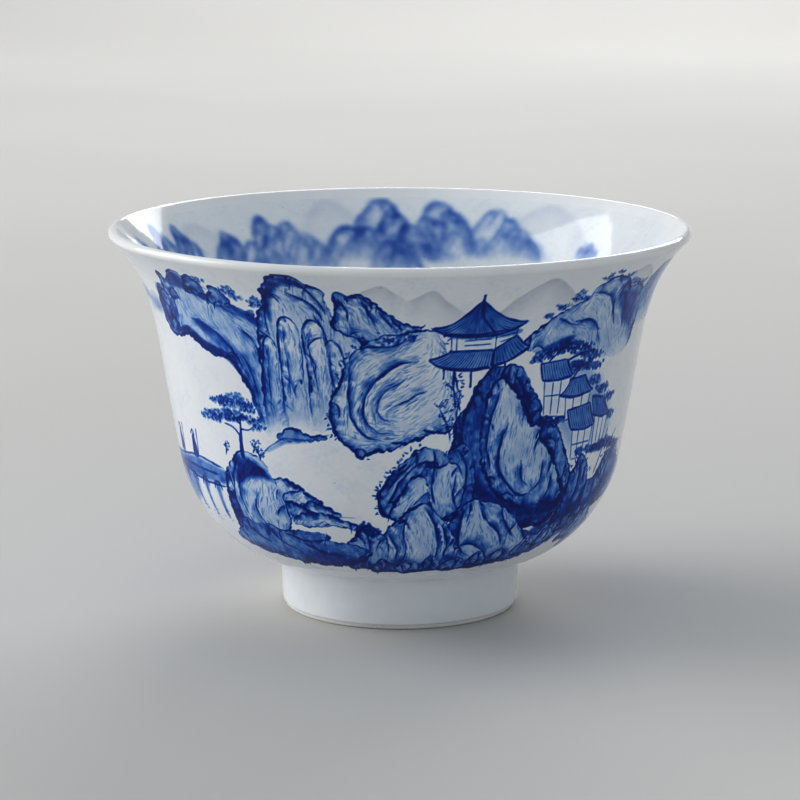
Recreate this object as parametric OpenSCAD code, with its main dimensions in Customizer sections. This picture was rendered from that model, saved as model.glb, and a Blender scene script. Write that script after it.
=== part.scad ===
// Porcelain tea cup: a flared bowl on a foot ring, with a landscape painted in cobalt
// on the clay, inside and out, under a clear glaze. The wall is built up as the real one
// is, in layers that meet face to face, and each layer is a node. Millimetres, +Z up,
// with the origin on the axis at the level that the foot stands on.

/* [Mouth] */
// Radius of the mouth, over the glaze
mouth_r = 42.5; // [36:0.1:52]
// Height from the bearing edge to the top of the lip
cup_h = 56.6; // [46:0.1:70]
// Thickness of the lip, over the glaze
lip_t = 1.4; // [1:0.05:2]
// Slope of the flare where it meets the lip, from the horizontal
lip_slope = 46; // [35:1:75]
// Height of the unpainted rim, down from the top of the lip
lip_band = 1.3; // [1:0.1:2]

/* [Wall] */
// Radius of the wall at the waist, where the belly ends and the flare starts
waist_r = 32.4; // [28:0.1:36]
// Height of the waist
waist_h = 23; // [18:0.1:28]
// Slope of the wall at the waist, from the horizontal
waist_slope = 79; // [65:1:88]
// Thickness of the wall at the waist, over the glaze
wall_t = 2.1; // [1.6:0.05:3]
// Thickness of the wall where it leaves the foot, over the glaze
base_t = 4; // [3:0.1:5]
// Slope of the underside where it leaves the foot, from the horizontal
base_slope = 6; // [2:1:12]
// How far the floor dips from its edge to the axis
floor_dip = 0.9; // [0.4:0.1:1.5]

/* [Fullness of the curves] */
// Pull of the underside, as a share of the belly's chord
belly_low = 0.25; // [0.15:0.01:0.4]
// Pull of the waist on the belly
belly_high = 0.44; // [0.3:0.01:0.55]
// Pull of the waist on the flare, as a share of the flare's chord
flare_low = 0.61; // [0.4:0.01:0.7]
// Pull of the lip on the flare
flare_high = 0.3; // [0.15:0.01:0.4]

/* [Foot] */
// Radius of the foot at its base, over the glaze
foot_r = 17.4; // [14:0.1:22]
// Height of the bowl's underside where it leaves the foot
foot_h = 7.8; // [5:0.1:10]
// Thickness of the foot at its base, over the glaze
foot_t = 2.9; // [2.2:0.1:4]
// Lean of the foot's outside from the vertical
foot_lean = 3; // [0:0.5:6]
// Lean of the foot's inside from the vertical
well_lean = 2; // [0:0.5:6]
// Radius of the fillet between the foot and the bowl
fillet_r = 0.5; // [0.3:0.05:1.5]
// Radius of the glaze that pools in the corner of the foot well
pool_r = 0.9; // [0.5:0.05:1.5]
// Height of the bare edge that the glaze stops above
bare_h = 0.7; // [0.5:0.05:1.2]
// Rounding of the bare edge
bare_round = 0.45; // [0.2:0.05:0.5]

/* [Layers] */
// Thickness of the glaze
glaze_t = 0.3; // [0.2:0.02:0.4]
// Depth that the cobalt soaks into the clay
cobalt_t = 0.06; // [0.04:0.01:0.1]
// Height of the lower edge of the outside painting
outer_paint_low = 8.6; // [8.4:0.1:12]
// Bare margin between the top of the lip and the outside painting
outer_paint_margin = 1.7; // [1.7:0.1:4]
// Height of the inside painting
inner_paint_h = 20; // [10:0.5:24]
// Bare margin between the top of the lip and the inside painting
inner_paint_margin = 1.6; // [1.6:0.1:4]

/* [Hidden] */
$fn = 96;
steps_per_curve = 24; // straight bands along each of the belly and the flare
steps_per_round = 8;  // straight bands round each small arc

// A direction in the profile plane, and the point that lies d along it.
function along(angle) = [cos(angle), sin(angle)];
function arc(centre, r, from, to) =
  [for (i = [0 : steps_per_round]) centre + r * along(from + (to - from) * i / steps_per_round)];
function reversed(list) = [for (i = [len(list) - 1 : -1 : 0]) list[i]];
function smooth(x) = x * x * (3 - 2 * x);

// A cubic curve between two points that leaves and arrives at given slopes, and its tangent.
function curve(c, t) = pow(1 - t, 3) * c[0] + 3 * t * pow(1 - t, 2) * c[1]
  + 3 * t * t * (1 - t) * c[2] + t * t * t * c[3];
function tangent(c, t) = pow(1 - t, 2) * (c[1] - c[0]) + 2 * t * (1 - t) * (c[2] - c[1])
  + t * t * (c[3] - c[2]);
function swept(a, slope_a, pull_a, b, slope_b, pull_b) =
  let (chord = norm(b - a))
  [a, a + pull_a * chord * along(slope_a), b - pull_b * chord * along(slope_b), b];

// Foot: its outside leans out, and a fillet turns it into the underside of the bowl.
lean_out = tan(foot_lean);
lean_in = tan(well_lean);
under = [sin(base_slope), -cos(base_slope)];
fillet_z = foot_h - fillet_r * cos(base_slope);
fillet_at = [foot_r + lean_out * fillet_z + fillet_r / cos(foot_lean), fillet_z];
foot_top = fillet_at - fillet_r * under;
seat = foot_top - glaze_t * under; // where the clay of the bowl sits on the clay of the ring

// Wall: u runs from 0 at the foot, through 1 at the waist, to 2 at the lip.
waist = [waist_r, waist_h];
lip_out = [sin(lip_slope), -cos(lip_slope)];
lip_at = [mouth_r - lip_t / 2, cup_h - lip_t / 2];
belly = swept(foot_top, base_slope, belly_low, waist, waist_slope, belly_high);
flare = swept(waist, waist_slope, flare_low, lip_at + lip_t / 2 * lip_out, lip_slope, flare_high);
function skin(u) = u < 1 ? curve(belly, u) : curve(flare, u - 1);
function outward(u) = let (t = u < 1 ? tangent(belly, u) : tangent(flare, u - 1)) [t[1], -t[0]] / norm(t);
function thickness(u) = u < 1 ? base_t + (wall_t - base_t) * smooth(u)
  : wall_t + (lip_t - wall_t) * smooth(u - 1);
function outside(u, deep) = skin(u) - deep * outward(u);
function inside(u, deep) = skin(u) - (thickness(u) - deep) * outward(u);
function outside_line(stations, deep) = [for (u = stations) outside(u, deep)];
function inside_line(stations, deep) = [for (u = stations) inside(u, deep)];

// Stations along the wall, evenly spaced between the places where a layer starts or stops.
function between(a, b) = let (n = ceil((b - a) * steps_per_curve)) [for (i = [0 : n]) a + (b - a) * i / n];
function beyond_first(list) = [for (i = [1 : len(list) - 1]) list[i]];
function outside_u(z, low = 0, high = 2, tries = 30) = let (mid = (low + high) / 2)
  tries == 0 ? mid
  : outside(mid, 0)[1] < z ? outside_u(z, mid, high, tries - 1) : outside_u(z, low, mid, tries - 1);
function inside_u(z, low = 0, high = 2, tries = 30) = let (mid = (low + high) / 2)
  tries == 0 ? mid
  : inside(mid, 0)[1] < z ? inside_u(z, mid, high, tries - 1) : inside_u(z, low, mid, tries - 1);

outer_paint_from = outside_u(outer_paint_low);
outer_paint_to = outside_u(cup_h - outer_paint_margin);
outer_lip_from = outside_u(cup_h - lip_band);
inner_paint_from = inside_u(cup_h - inner_paint_margin - inner_paint_h);
inner_paint_to = inside_u(cup_h - inner_paint_margin);
inner_lip_from = inside_u(cup_h - lip_band);

outer_below = between(0, outer_paint_from);
outer_painted = between(outer_paint_from, outer_paint_to);
outer_above = between(outer_paint_to, outer_lip_from);
outer_lip = between(outer_lip_from, 2);
inner_below = between(0, inner_paint_from);
inner_painted = between(inner_paint_from, inner_paint_to);
inner_above = between(inner_paint_to, inner_lip_from);
inner_lip = between(inner_lip_from, 2);
outer_glazed = concat(outer_below, beyond_first(outer_painted), beyond_first(outer_above));
inner_glazed = concat(inner_below, beyond_first(inner_painted), beyond_first(inner_above));

// Floor: from the foot of the inside wall to the axis, level where it arrives.
function floor_line(deep) =
  let (edge = inside(0, deep), middle = [0, inside(0, 0)[1] - floor_dip - deep],
       line = swept(middle, 0, 0.4, edge, base_slope, 0.4))
  [for (i = [0 : steps_per_curve]) curve(line, i / steps_per_curve)];

function lip_round(deep) = arc(lip_at, lip_t / 2 - deep, lip_slope - 90, lip_slope + 90);

// Foot walls at a height: the clay lies a glaze thickness inside the finished face.
function foot_outside(z, deep) = [foot_r + lean_out * z - deep / cos(foot_lean), z];
function foot_inside(z, deep) = [foot_r - foot_t - lean_in * z + deep / cos(well_lean), z];
fillet_from = 90 + base_slope;
fillet_to = 180 - foot_lean;

// Thrown bowl: clay between the two glazes, with the cobalt taken up by its surface.
module porcelain_bowl() {
  color("whitesmoke") rotate_extrude() polygon(concat(
    [[0, seat[1]]],
    outside_line(outer_below, glaze_t),
    outside_line(outer_painted, glaze_t + cobalt_t),
    outside_line(outer_above, glaze_t),
    outside_line(beyond_first(outer_lip), glaze_t),
    beyond_first(lip_round(glaze_t)),
    beyond_first(reversed(inside_line(inner_lip, glaze_t))),
    beyond_first(reversed(inside_line(inner_above, glaze_t))),
    reversed(inside_line(inner_painted, glaze_t + cobalt_t)),
    reversed(inside_line(inner_below, glaze_t)),
    beyond_first(reversed(floor_line(glaze_t)))));
}

// Foot ring: a ring of the same clay under the bowl, with a bare rounded bearing edge.
module foot_ring() {
  edge_out = foot_outside(bare_round, glaze_t);
  edge_in = foot_inside(bare_round, glaze_t);
  color("gainsboro") rotate_extrude() polygon(concat(
    arc(fillet_at, fillet_r + glaze_t, fillet_from, fillet_to),
    [foot_outside(bare_h, glaze_t)],
    arc(edge_out - [bare_round, 0], bare_round, 0, -90),
    arc(edge_in + [bare_round, 0], bare_round, -90, -180),
    [foot_inside(bare_h, glaze_t), foot_inside(seat[1], glaze_t)]));
}

// Painted layers: cobalt in the surface of the clay, outside and inside.
module outer_painting() {
  color("royalblue") rotate_extrude() polygon(concat(
    outside_line(outer_painted, glaze_t),
    reversed(outside_line(outer_painted, glaze_t + cobalt_t))));
}

module inner_painting() {
  color("cornflowerblue") rotate_extrude() polygon(concat(
    inside_line(inner_painted, glaze_t + cobalt_t),
    reversed(inside_line(inner_painted, glaze_t))));
}

// Clear glaze outside, from the foot to the rim.
module outer_glaze() {
  color("aliceblue") rotate_extrude() polygon(concat(
    outside_line(outer_glazed, 0),
    reversed(outside_line(outer_glazed, glaze_t))));
}

// Clear glaze inside, over the floor and up to the rim.
module inner_glaze() {
  color("azure") rotate_extrude() polygon(concat(
    inside_line(reversed(inner_glazed), 0),
    beyond_first(reversed(floor_line(0))),
    floor_line(glaze_t),
    beyond_first(inside_line(inner_glazed, glaze_t))));
}

// Unpainted rim: the glaze that rounds the lip over, from one face to the other.
module lip_glaze() {
  color("ivory") rotate_extrude() polygon(concat(
    outside_line(outer_lip, 0),
    beyond_first(lip_round(0)),
    beyond_first(reversed(inside_line(inner_lip, 0))),
    inside_line(inner_lip, glaze_t),
    beyond_first(reversed(lip_round(glaze_t))),
    beyond_first(reversed(outside_line(outer_lip, glaze_t)))));
}

// Glaze on the outside of the foot, wiped to a round edge above the bearing edge.
module foot_ring_glaze() {
  color("lavender") rotate_extrude() polygon(concat(
    arc(fillet_at, fillet_r, fillet_from, fillet_to),
    arc(foot_outside(bare_h + glaze_t, glaze_t), glaze_t, -foot_lean, -90),
    [foot_outside(bare_h, glaze_t)],
    reversed(arc(fillet_at, fillet_r + glaze_t, fillet_from, fillet_to))));
}

// Glaze in the well under the cup, pooled round its corner.
module foot_well_glaze() {
  wall_top = foot_inside(seat[1] - glaze_t - pool_r, 0);
  pool_at = wall_top - [pool_r, 0];
  color("honeydew") rotate_extrude() polygon(concat(
    [[0, seat[1]], [0, seat[1] - glaze_t]],
    reversed(arc(pool_at, pool_r, 0, 90)),
    arc(foot_inside(bare_h + glaze_t, glaze_t), glaze_t, -180 + well_lean, -90),
    [foot_inside(bare_h, glaze_t), foot_inside(seat[1], glaze_t)]));
}

porcelain_bowl();
foot_ring();
outer_painting();
inner_painting();
outer_glaze();
inner_glaze();
lip_glaze();
foot_ring_glaze();
foot_well_glaze();
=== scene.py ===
"""A porcelain tea cup: a flared bowl on a foot ring, painted in cobalt under a clear glaze.

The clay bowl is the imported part's own. The skins over it are turned about the cup's axis from
one profile, and the landscape is brushed in code on a sheet that unrolls from the wall.
"""
import bpy
import numpy as np
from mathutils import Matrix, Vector


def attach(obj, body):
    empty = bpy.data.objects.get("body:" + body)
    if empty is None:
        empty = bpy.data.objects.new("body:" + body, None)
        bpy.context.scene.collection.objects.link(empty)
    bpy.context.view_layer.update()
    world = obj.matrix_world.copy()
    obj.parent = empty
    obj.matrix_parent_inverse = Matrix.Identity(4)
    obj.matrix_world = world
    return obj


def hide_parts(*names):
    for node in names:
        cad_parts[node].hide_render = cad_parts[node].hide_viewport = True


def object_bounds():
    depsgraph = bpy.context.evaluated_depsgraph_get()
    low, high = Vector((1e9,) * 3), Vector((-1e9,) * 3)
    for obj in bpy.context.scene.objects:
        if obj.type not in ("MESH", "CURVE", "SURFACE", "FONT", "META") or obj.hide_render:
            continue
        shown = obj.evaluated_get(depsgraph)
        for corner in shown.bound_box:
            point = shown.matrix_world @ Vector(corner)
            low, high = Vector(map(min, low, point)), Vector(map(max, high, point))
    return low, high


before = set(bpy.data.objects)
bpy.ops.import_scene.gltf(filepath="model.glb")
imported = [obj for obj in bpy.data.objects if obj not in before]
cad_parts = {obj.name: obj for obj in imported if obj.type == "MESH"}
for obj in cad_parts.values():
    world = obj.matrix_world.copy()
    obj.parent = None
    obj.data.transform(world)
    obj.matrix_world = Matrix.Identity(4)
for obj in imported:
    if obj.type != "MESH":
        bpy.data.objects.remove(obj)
cad_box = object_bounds()

# ---------------------------------------------------------------- Clay bowl
# The bowl is thrown from white porcelain clay, trimmed and fired. It is closed in by the glaze
# on every side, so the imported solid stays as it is, and gets the look of fired, unglazed clay.


def set_values(shader, **values):
    """Give a shader's own sockets plain values, by socket name with spaces as underscores."""
    for socket, value in values.items():
        shader.inputs[socket.replace("_", " ")].default_value = value


def noise(nodes, scale, detail, stretch=None):
    """A noise over Object coordinates; scale is in waves to the metre, stretch by axis."""
    place = nodes.new("ShaderNodeTexCoord").outputs["Object"]
    if stretch:
        mapping = nodes.new("ShaderNodeMapping")
        mapping.inputs["Scale"].default_value = stretch
        nodes.id_data.links.new(place, mapping.inputs["Vector"])
        place = mapping.outputs["Vector"]
    texture = nodes.new("ShaderNodeTexNoise")
    set_values(texture, Scale=scale, Detail=detail, Roughness=0.5)
    nodes.id_data.links.new(place, texture.inputs["Vector"])
    return texture.outputs["Fac"]


def ramp(nodes, source, stops):
    """A colour or grey for each level of a source; stops are (level, colour)."""
    node = nodes.new("ShaderNodeValToRGB")
    points = node.color_ramp.elements
    while len(points) < len(stops):
        points.new(0.5)
    for point, (level, colour) in zip(points, stops):
        point.position = level
        point.color = (*colour, 1) if isinstance(colour, tuple) else (colour, colour, colour, 1)
    nodes.id_data.links.new(source, node.inputs["Fac"])
    return node.outputs["Color"]


def sum_of(nodes, *terms):
    """Weighted sum of sources: each term is (source, weight), or a plain number."""
    total = None
    for term in terms:
        if isinstance(term, tuple):
            node = nodes.new("ShaderNodeMath")
            node.operation = "MULTIPLY_ADD"
            nodes.id_data.links.new(term[0], node.inputs[0])
            node.inputs[1].default_value = term[1]
            if total is not None and not isinstance(total, float):
                nodes.id_data.links.new(total, node.inputs[2])
            else:
                node.inputs[2].default_value = total or 0.0
            total = node.outputs[0]
        else:
            total = float(term)
    return total


def bump(nodes, height, distance):
    """A bump of so many metres from a height source."""
    node = nodes.new("ShaderNodeBump")
    set_values(node, Strength=1.0, Distance=distance)
    nodes.id_data.links.new(height, node.inputs["Height"])
    return node.outputs["Normal"]


def new_material(name):
    """A fresh material and its nodes, links and shader."""
    material = bpy.data.materials.new(name)
    material.use_nodes = True
    nodes = material.node_tree.nodes
    return material, nodes, material.node_tree.links, nodes["Principled BSDF"]


def bare_clay(name, tint):
    """Fired clay without glaze: matt and dry, with fine grit, faint turning lines and warm flashing."""
    material, nodes, links, shader = new_material(name)
    set_values(shader, IOR=1.5, Specular_IOR_Level=0.35)
    grit = noise(nodes, 2600, 3)
    cloud = noise(nodes, 90, 2)
    turning = noise(nodes, 120, 2, stretch=(0.2, 0.2, 14))
    level = sum_of(nodes, 0.0, (grit, 0.45), (cloud, 0.55))
    dull = tuple(0.86 * c for c in tint)
    warm = (tint[0] * 0.97, tint[1] * 0.92, tint[2] * 0.84)
    links.new(ramp(nodes, level, [(0.3, dull), (0.5, tint), (0.72, warm)]), shader.inputs["Base Color"])
    links.new(sum_of(nodes, 0.62, (grit, 0.25)), shader.inputs["Roughness"])
    links.new(bump(nodes, sum_of(nodes, 0.0, (grit, 0.5), (turning, 0.8)), 6e-05),
              shader.inputs["Normal"])
    return material


CLAY_TINT = 0.82, 0.81, 0.78
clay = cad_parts["porcelain_bowl"]
clay.material_slots[0].material = bare_clay("fired_clay", CLAY_TINT)

# ---------------------------------------------------------------- Foot ring
# A ring of the same clay carries the bowl. Its bearing edge is wiped bare before the glaze firing,
# so a thin band of matt, slightly gritty clay shows at the very bottom, rounded by hand.
# Sizes are in millimetres and degrees, and MM turns them into metres when a mesh is made.
MM = 0.001
low, high = (np.array(corner) / MM for corner in cad_box)
MOUTH_R = (high[0] - low[0] + high[1] - low[1]) / 4
CUP_H = high[2]
GLAZE_T = 0.3
FOOT_R = 17.4
FOOT_H = 7.8
FOOT_T = 2.9
FOOT_LEAN, WELL_LEAN = 3.0, 2.0
BASE_SLOPE = 6.0
FILLET_R = 0.5
POOL_R = 0.9
BARE_H = 0.7
BARE_ROUND = 0.45
BARE_TINT = 0.83, 0.82, 0.79


def along(degrees):
    """The direction at an angle in the profile plane, out from the axis and up."""
    return np.array([np.cos(np.radians(degrees)), np.sin(np.radians(degrees))])


def arc(centre, radius, start, stop, count=14):
    """Points round a circle from one angle to another."""
    turn = np.radians(np.linspace(start, stop, count))
    return centre + radius * np.column_stack([np.cos(turn), np.sin(turn)])


def foot_outside(z, deep):
    """The foot's outside at a height, and a depth under the glaze: it leans outwards as it rises."""
    lean = np.radians(FOOT_LEAN)
    return np.array([FOOT_R + np.tan(lean) * z - deep / np.cos(lean), z])


def foot_inside(z, deep=0.0):
    """The foot's inside at a height, and a depth under the glaze: it leans inwards as it rises."""
    lean = np.radians(WELL_LEAN)
    return np.array([FOOT_R - FOOT_T - np.tan(lean) * z + deep / np.cos(lean), z])


under = np.array([np.sin(np.radians(BASE_SLOPE)), -np.cos(np.radians(BASE_SLOPE))])
fillet_z = FOOT_H - FILLET_R * np.cos(np.radians(BASE_SLOPE))
fillet_at = foot_outside(fillet_z, -FILLET_R)
foot_top = fillet_at - FILLET_R * under
seat = foot_top - GLAZE_T * under


def evenly(points, count):
    """The same line with so many points, evenly spaced along it."""
    run = np.r_[0, np.cumsum(np.hypot(*np.diff(points, axis=0).T))]
    at = np.linspace(0, run[-1], count)
    return np.column_stack([np.interp(at, run, points[:, i]) for i in (0, 1)])


def facing_of(line, closed=False):
    """Normals of a profile, to the right of its direction: out from the clay all the way round."""
    step = np.roll(line, -1, axis=0) - np.roll(line, 1, axis=0) if closed else np.gradient(line, axis=0)
    step /= np.hypot(*step.T)[:, None]
    return np.column_stack([step[:, 1], -step[:, 0]])


def turned(name, line, facing, columns, start=-180.0, stop=180.0, paint=None):
    """A solid turned about the axis from a closed profile: the point (r, z) of the profile at angle a
    lies at (r sin a, -r cos a, z), so a grid of profile by angle makes the mesh. A full turn closes on
    its own first column, less than a full turn is capped at both ends, and a row on the axis is a
    single point. Paint is a dictionary of grids that become attributes of the points, from the first
    row on."""
    full = stop - start > 359.9
    turn = np.radians(np.linspace(start, stop, columns, endpoint=not full))
    rows = len(line)
    pole = line[:, 0] < 1e-9
    keep = ~pole[:, None] | (np.arange(columns) == 0)
    index = np.cumsum(keep).reshape(keep.shape) - 1
    index[pole] = index[pole][:, :1]

    def swung(values, scale):
        r, z = values[:, :1] * scale, values[:, 1:] * scale
        return np.stack([r * np.sin(turn), -r * np.cos(turn), z + 0 * turn], -1)[keep]

    i, j = (k.ravel() for k in np.meshgrid(np.arange(rows), np.arange(columns if full else columns - 1),
                                           indexing="ij"))
    both = ~(pole[i] & pole[(i + 1) % rows])
    i, j = i[both], j[both]
    up, on = (i + 1) % rows, (j + 1) % columns
    corners = np.column_stack([index[i, j], index[i, on], index[up, on], index[up, j]])
    real = np.column_stack([i >= 0, ~pole[i], i >= 0, ~pole[up]])
    u, v, w, t = j / columns, i / rows, (j + 1) / columns, (i + 1) / rows
    flat = np.stack([u, v, w, v, w, t, u, t], -1).reshape(-1, 4, 2)[real]
    sizes, corners = real.sum(1), corners[real]
    if not full:
        k = np.arange(rows)
        corners = np.r_[corners, index[k, 0], index[k[::-1], -1]]
        sizes = np.r_[sizes, rows, rows]
        flat = np.vstack([flat, np.column_stack([0 * k, k / rows]),
                          np.column_stack([0 * k + 1, k[::-1] / rows])])
    mesh = bpy.data.meshes.new(name)
    mesh.vertices.add(keep.sum())
    mesh.vertices.foreach_set("co", swung(line, MM).ravel())
    mesh.loops.add(len(corners))
    mesh.loops.foreach_set("vertex_index", corners.astype(np.int32))
    mesh.polygons.add(len(sizes))
    mesh.polygons.foreach_set("loop_start", np.r_[0, np.cumsum(sizes)[:-1]].astype(np.int32))
    mesh.update(calc_edges=True)
    layer = mesh.uv_layers.new(name="OFBake")
    layer.data.foreach_set("uv", (0.01 + 0.98 * flat).astype(np.float32).ravel())
    for key, grid in (paint or {}).items():
        values = np.zeros(keep.shape, np.float32)
        values[:len(grid)] = grid
        mesh.attributes.new(key, "FLOAT", "POINT").data.foreach_set("value", values[keep])
    mesh.shade_smooth()
    mesh.normals_split_custom_set_from_vertices(swung(facing, 1))
    piece = bpy.data.objects.new(name, mesh)
    bpy.context.scene.collection.objects.link(piece)
    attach(piece, "root")
    return piece


def shell(front, facing, backed=slice(None), every=3):
    """A coat of glaze in section: its face, then back along the same line a glaze thickness behind it.
    Only every so many points are kept behind, and none outside the backed ones, where the coat
    rounds off."""
    behind = (front - GLAZE_T * facing)[backed]
    turned_away = -facing[backed]
    pick = np.r_[np.arange(0, len(behind) - 1, every), len(behind) - 1][::-1]
    return np.vstack([front, behind[pick]]), np.vstack([facing, turned_away[pick]])


edge_out, edge_in = foot_outside(BARE_ROUND, GLAZE_T), foot_inside(BARE_ROUND, GLAZE_T)
ring_line = np.vstack([
    evenly(np.array([seat, [foot_inside(seat[1], GLAZE_T)[0], seat[1]]]), count=6),
    evenly(np.array([foot_inside(seat[1], GLAZE_T), edge_in]), count=40)[1:],
    arc(edge_in + [BARE_ROUND, 0], BARE_ROUND, 180, 270)[1:],
    arc(edge_out - [BARE_ROUND, 0], BARE_ROUND, -90, 0),
    arc(fillet_at, FILLET_R + GLAZE_T, 180 - FOOT_LEAN, 90 + BASE_SLOPE)[:-1]])
ring = turned("foot_ring_clay", ring_line, facing_of(ring_line, closed=True), 360)
ring.data.materials.append(bare_clay("bare_foot_clay", BARE_TINT))
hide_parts("foot_ring")

# ---------------------------------------------------------------- Outside: painting and glaze
# The biscuit-fired wall is painted with cobalt, which soaks into the clay, and then the cup is dipped
# in clear glaze. Brush marks lie under the gloss. The skin is made in eight panels round the cup.
LIP_T = 1.4
LIP_SLOPE = 46.0
LIP_BAND = 1.3
WAIST = np.array([32.4, 23.0])
WAIST_SLOPE = 79.0
BELLY_PULL = 0.25, 0.44
FLARE_PULL = 0.61, 0.3
PAINT_LOW, PAINT_HIGH = 8.6, CUP_H - 1.7
PANELS = 8
PANEL_COLUMNS = 201
ROW_STEP = 0.15

lip_at = np.array([MOUTH_R - LIP_T / 2, CUP_H - LIP_T / 2])
lip_out = np.array([np.sin(np.radians(LIP_SLOPE)), -np.cos(np.radians(LIP_SLOPE))])


def swept(a, slope_a, b, slope_b, pull):
    """Handles of a cubic that leaves a and reaches b at given slopes, pulled by shares of the chord."""
    chord = np.hypot(*(b - a))
    return np.array([a, a + pull[0] * chord * along(slope_a), b - pull[1] * chord * along(slope_b), b])


def cubic(c, t):
    """Point of a cubic: its four handles weighted by (1-t)^3, 3t(1-t)^2, 3t^2(1-t) and t^3."""
    t = np.asarray(t)[:, None]
    return (1 - t) ** 3 * c[0] + 3 * t * (1 - t) ** 2 * c[1] + 3 * t * t * (1 - t) * c[2] + t ** 3 * c[3]


def cubic_way(c, t):
    """Direction of a cubic: its three handle steps weighted by (1-t)^2, 2t(1-t) and t^2."""
    t = np.asarray(t)[:, None]
    return (1 - t) ** 2 * (c[1] - c[0]) + 2 * t * (1 - t) * (c[2] - c[1]) + t * t * (c[3] - c[2])


belly = swept(foot_top, BASE_SLOPE, WAIST, WAIST_SLOPE, BELLY_PULL)
flare = swept(WAIST, WAIST_SLOPE, lip_at + LIP_T / 2 * lip_out, LIP_SLOPE, FLARE_PULL)
station = np.linspace(0, 2, 1201)
on_belly, on_flare = np.clip(station, 0, 1), np.clip(station - 1, 0, 1)
first = (station < 1)[:, None]
skin = np.where(first, cubic(belly, on_belly), cubic(flare, on_flare))
way = np.where(first, cubic_way(belly, on_belly), cubic_way(flare, on_flare))
outward = np.column_stack([way[:, 1], -way[:, 0]]) / np.hypot(*way.T)[:, None]
skin_run = np.r_[0, np.cumsum(np.hypot(*np.diff(skin, axis=0).T))]


def at_run(run, values, where):
    """Values of the wall's stations at distances along it."""
    return np.column_stack([np.interp(where, run, values[:, i]) for i in range(values.shape[1])])


# The painting is laid out on a sheet that unrolls from the cup: degrees round it, 0 towards -Y and
# growing to the right, and height in millimetres. The sheet is kept as cells of ink from 0 to 1.
CELL = 0.07          # size of a cell, mm
PER_DEGREE = 0.6     # mm of sheet for a degree round the cup, true at the waist
SHEET_W = 360 * PER_DEGREE
COLS = round(SHEET_W / CELL)
LINE_GAP = 0.12      # between the points of a line, mm
FINE_GAP = 0.09      # between the touches of a stroke, mm
HAIR_GAP = 0.08      # between the touches of a hair, mm
STREAK_WIDE, STREAK_LONG = 0.055, 0.6   # one mark of a half-dry brush, mm
EVERY_OTHER = slice(None, None, 2)      # the points of a line that distances are taken from
COARSE = 4           # distances are taken at one cell in so many each way
hand = np.random.default_rng(11)


def line_through(points, closed=False, step=LINE_GAP):
    """A smooth line through the points, evenly spaced: Catmull-Rom, each span a cubic whose slope at
    a point is half the way from the point before to the point after."""
    p = np.asarray(points, float)
    p = np.vstack([p[-1], p, p[:2]]) if closed else np.vstack([2 * p[0] - p[1], p, 2 * p[-1] - p[-2]])
    t = np.linspace(0, 1, 24, endpoint=False)[None, :, None]
    a, b, c, d = p[:-3, None], p[1:-2, None], p[2:-1, None], p[3:, None]
    q = b + 0.5 * t * (c - a + t * (2 * a - 5 * b + 4 * c - d + t * (3 * (b - c) + d - a)))
    q = np.vstack([q.reshape(-1, 2), p[-2]])
    run = np.r_[0, np.cumsum(np.hypot(*np.diff(q, axis=0).T))]
    at = np.linspace(0, run[-1], max(3, int(run[-1] / step)) + 1)
    return np.column_stack([np.interp(at, run, q[:, 0]), np.interp(at, run, q[:, 1])])


def drift(n, length, closed=False):
    """Smooth random numbers from -1 to 1, one for each of n places, that change over a length of them."""
    knots = max(4, int(n / length) + 2)
    k = hand.uniform(-1, 1, knots)
    if closed:
        k[-1] = k[0]
    x = np.linspace(0, knots - 1, n)
    i = np.minimum(x.astype(int), knots - 2)
    f = x - i
    f = f * f * (3 - 2 * f)
    return k[i] * (1 - f) + k[i + 1] * f


def normals_of(line):
    """Left-hand normals along a line: its direction turned a quarter turn."""
    d = np.gradient(line, axis=0)
    d /= np.hypot(*d.T)[:, None] + 1e-9
    return np.column_stack([-d[:, 1], d[:, 0]])


def shaky(line, amount, closed=False, length=9):
    """A line moved to and fro along its normals, as a brush wavers: a slow sway and a fast tremble."""
    n = len(line)
    push = amount * (0.7 * drift(n, 2.5 * length, closed) + 0.5 * drift(n, length, closed))
    return line + normals_of(line) * push[:, None]


def clouds(rows, cols, high, wide):
    """Smooth random cells from 0 to 1: coarse random numbers blended between, high by wide cells apart."""
    ny, nx = int(rows / high) + 3, int(cols / wide) + 3
    k = hand.random((ny, nx))
    y, x = np.arange(rows) / high, np.arange(cols) / wide
    i, j = y.astype(int), x.astype(int)
    f, g = (y - i)[:, None], (x - j)[None]
    f, g = f * f * (3 - 2 * f), g * g * (3 - 2 * g)
    top = k[i][:, j] * (1 - g) + k[i][:, j + 1] * g
    low = k[i + 1][:, j] * (1 - g) + k[i + 1][:, j + 1] * g
    return top * (1 - f) + low * f


def nearest_of(line, x, y):
    """Distance from each place to the nearest point of a line, and which point that is."""
    gap, which = np.full(len(x), 1e9), np.zeros(len(x), int)
    for s in range(0, len(line), 64):
        part = line[s:s + 64]
        d = (x[:, None] - part[:, 0]) ** 2 + (y[:, None] - part[:, 1]) ** 2
        k = d.argmin(1)
        m = d[np.arange(len(x)), k]
        closer = m < gap
        gap[closer], which[closer] = m[closer], k[closer] + s
    return np.sqrt(gap), which


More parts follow.
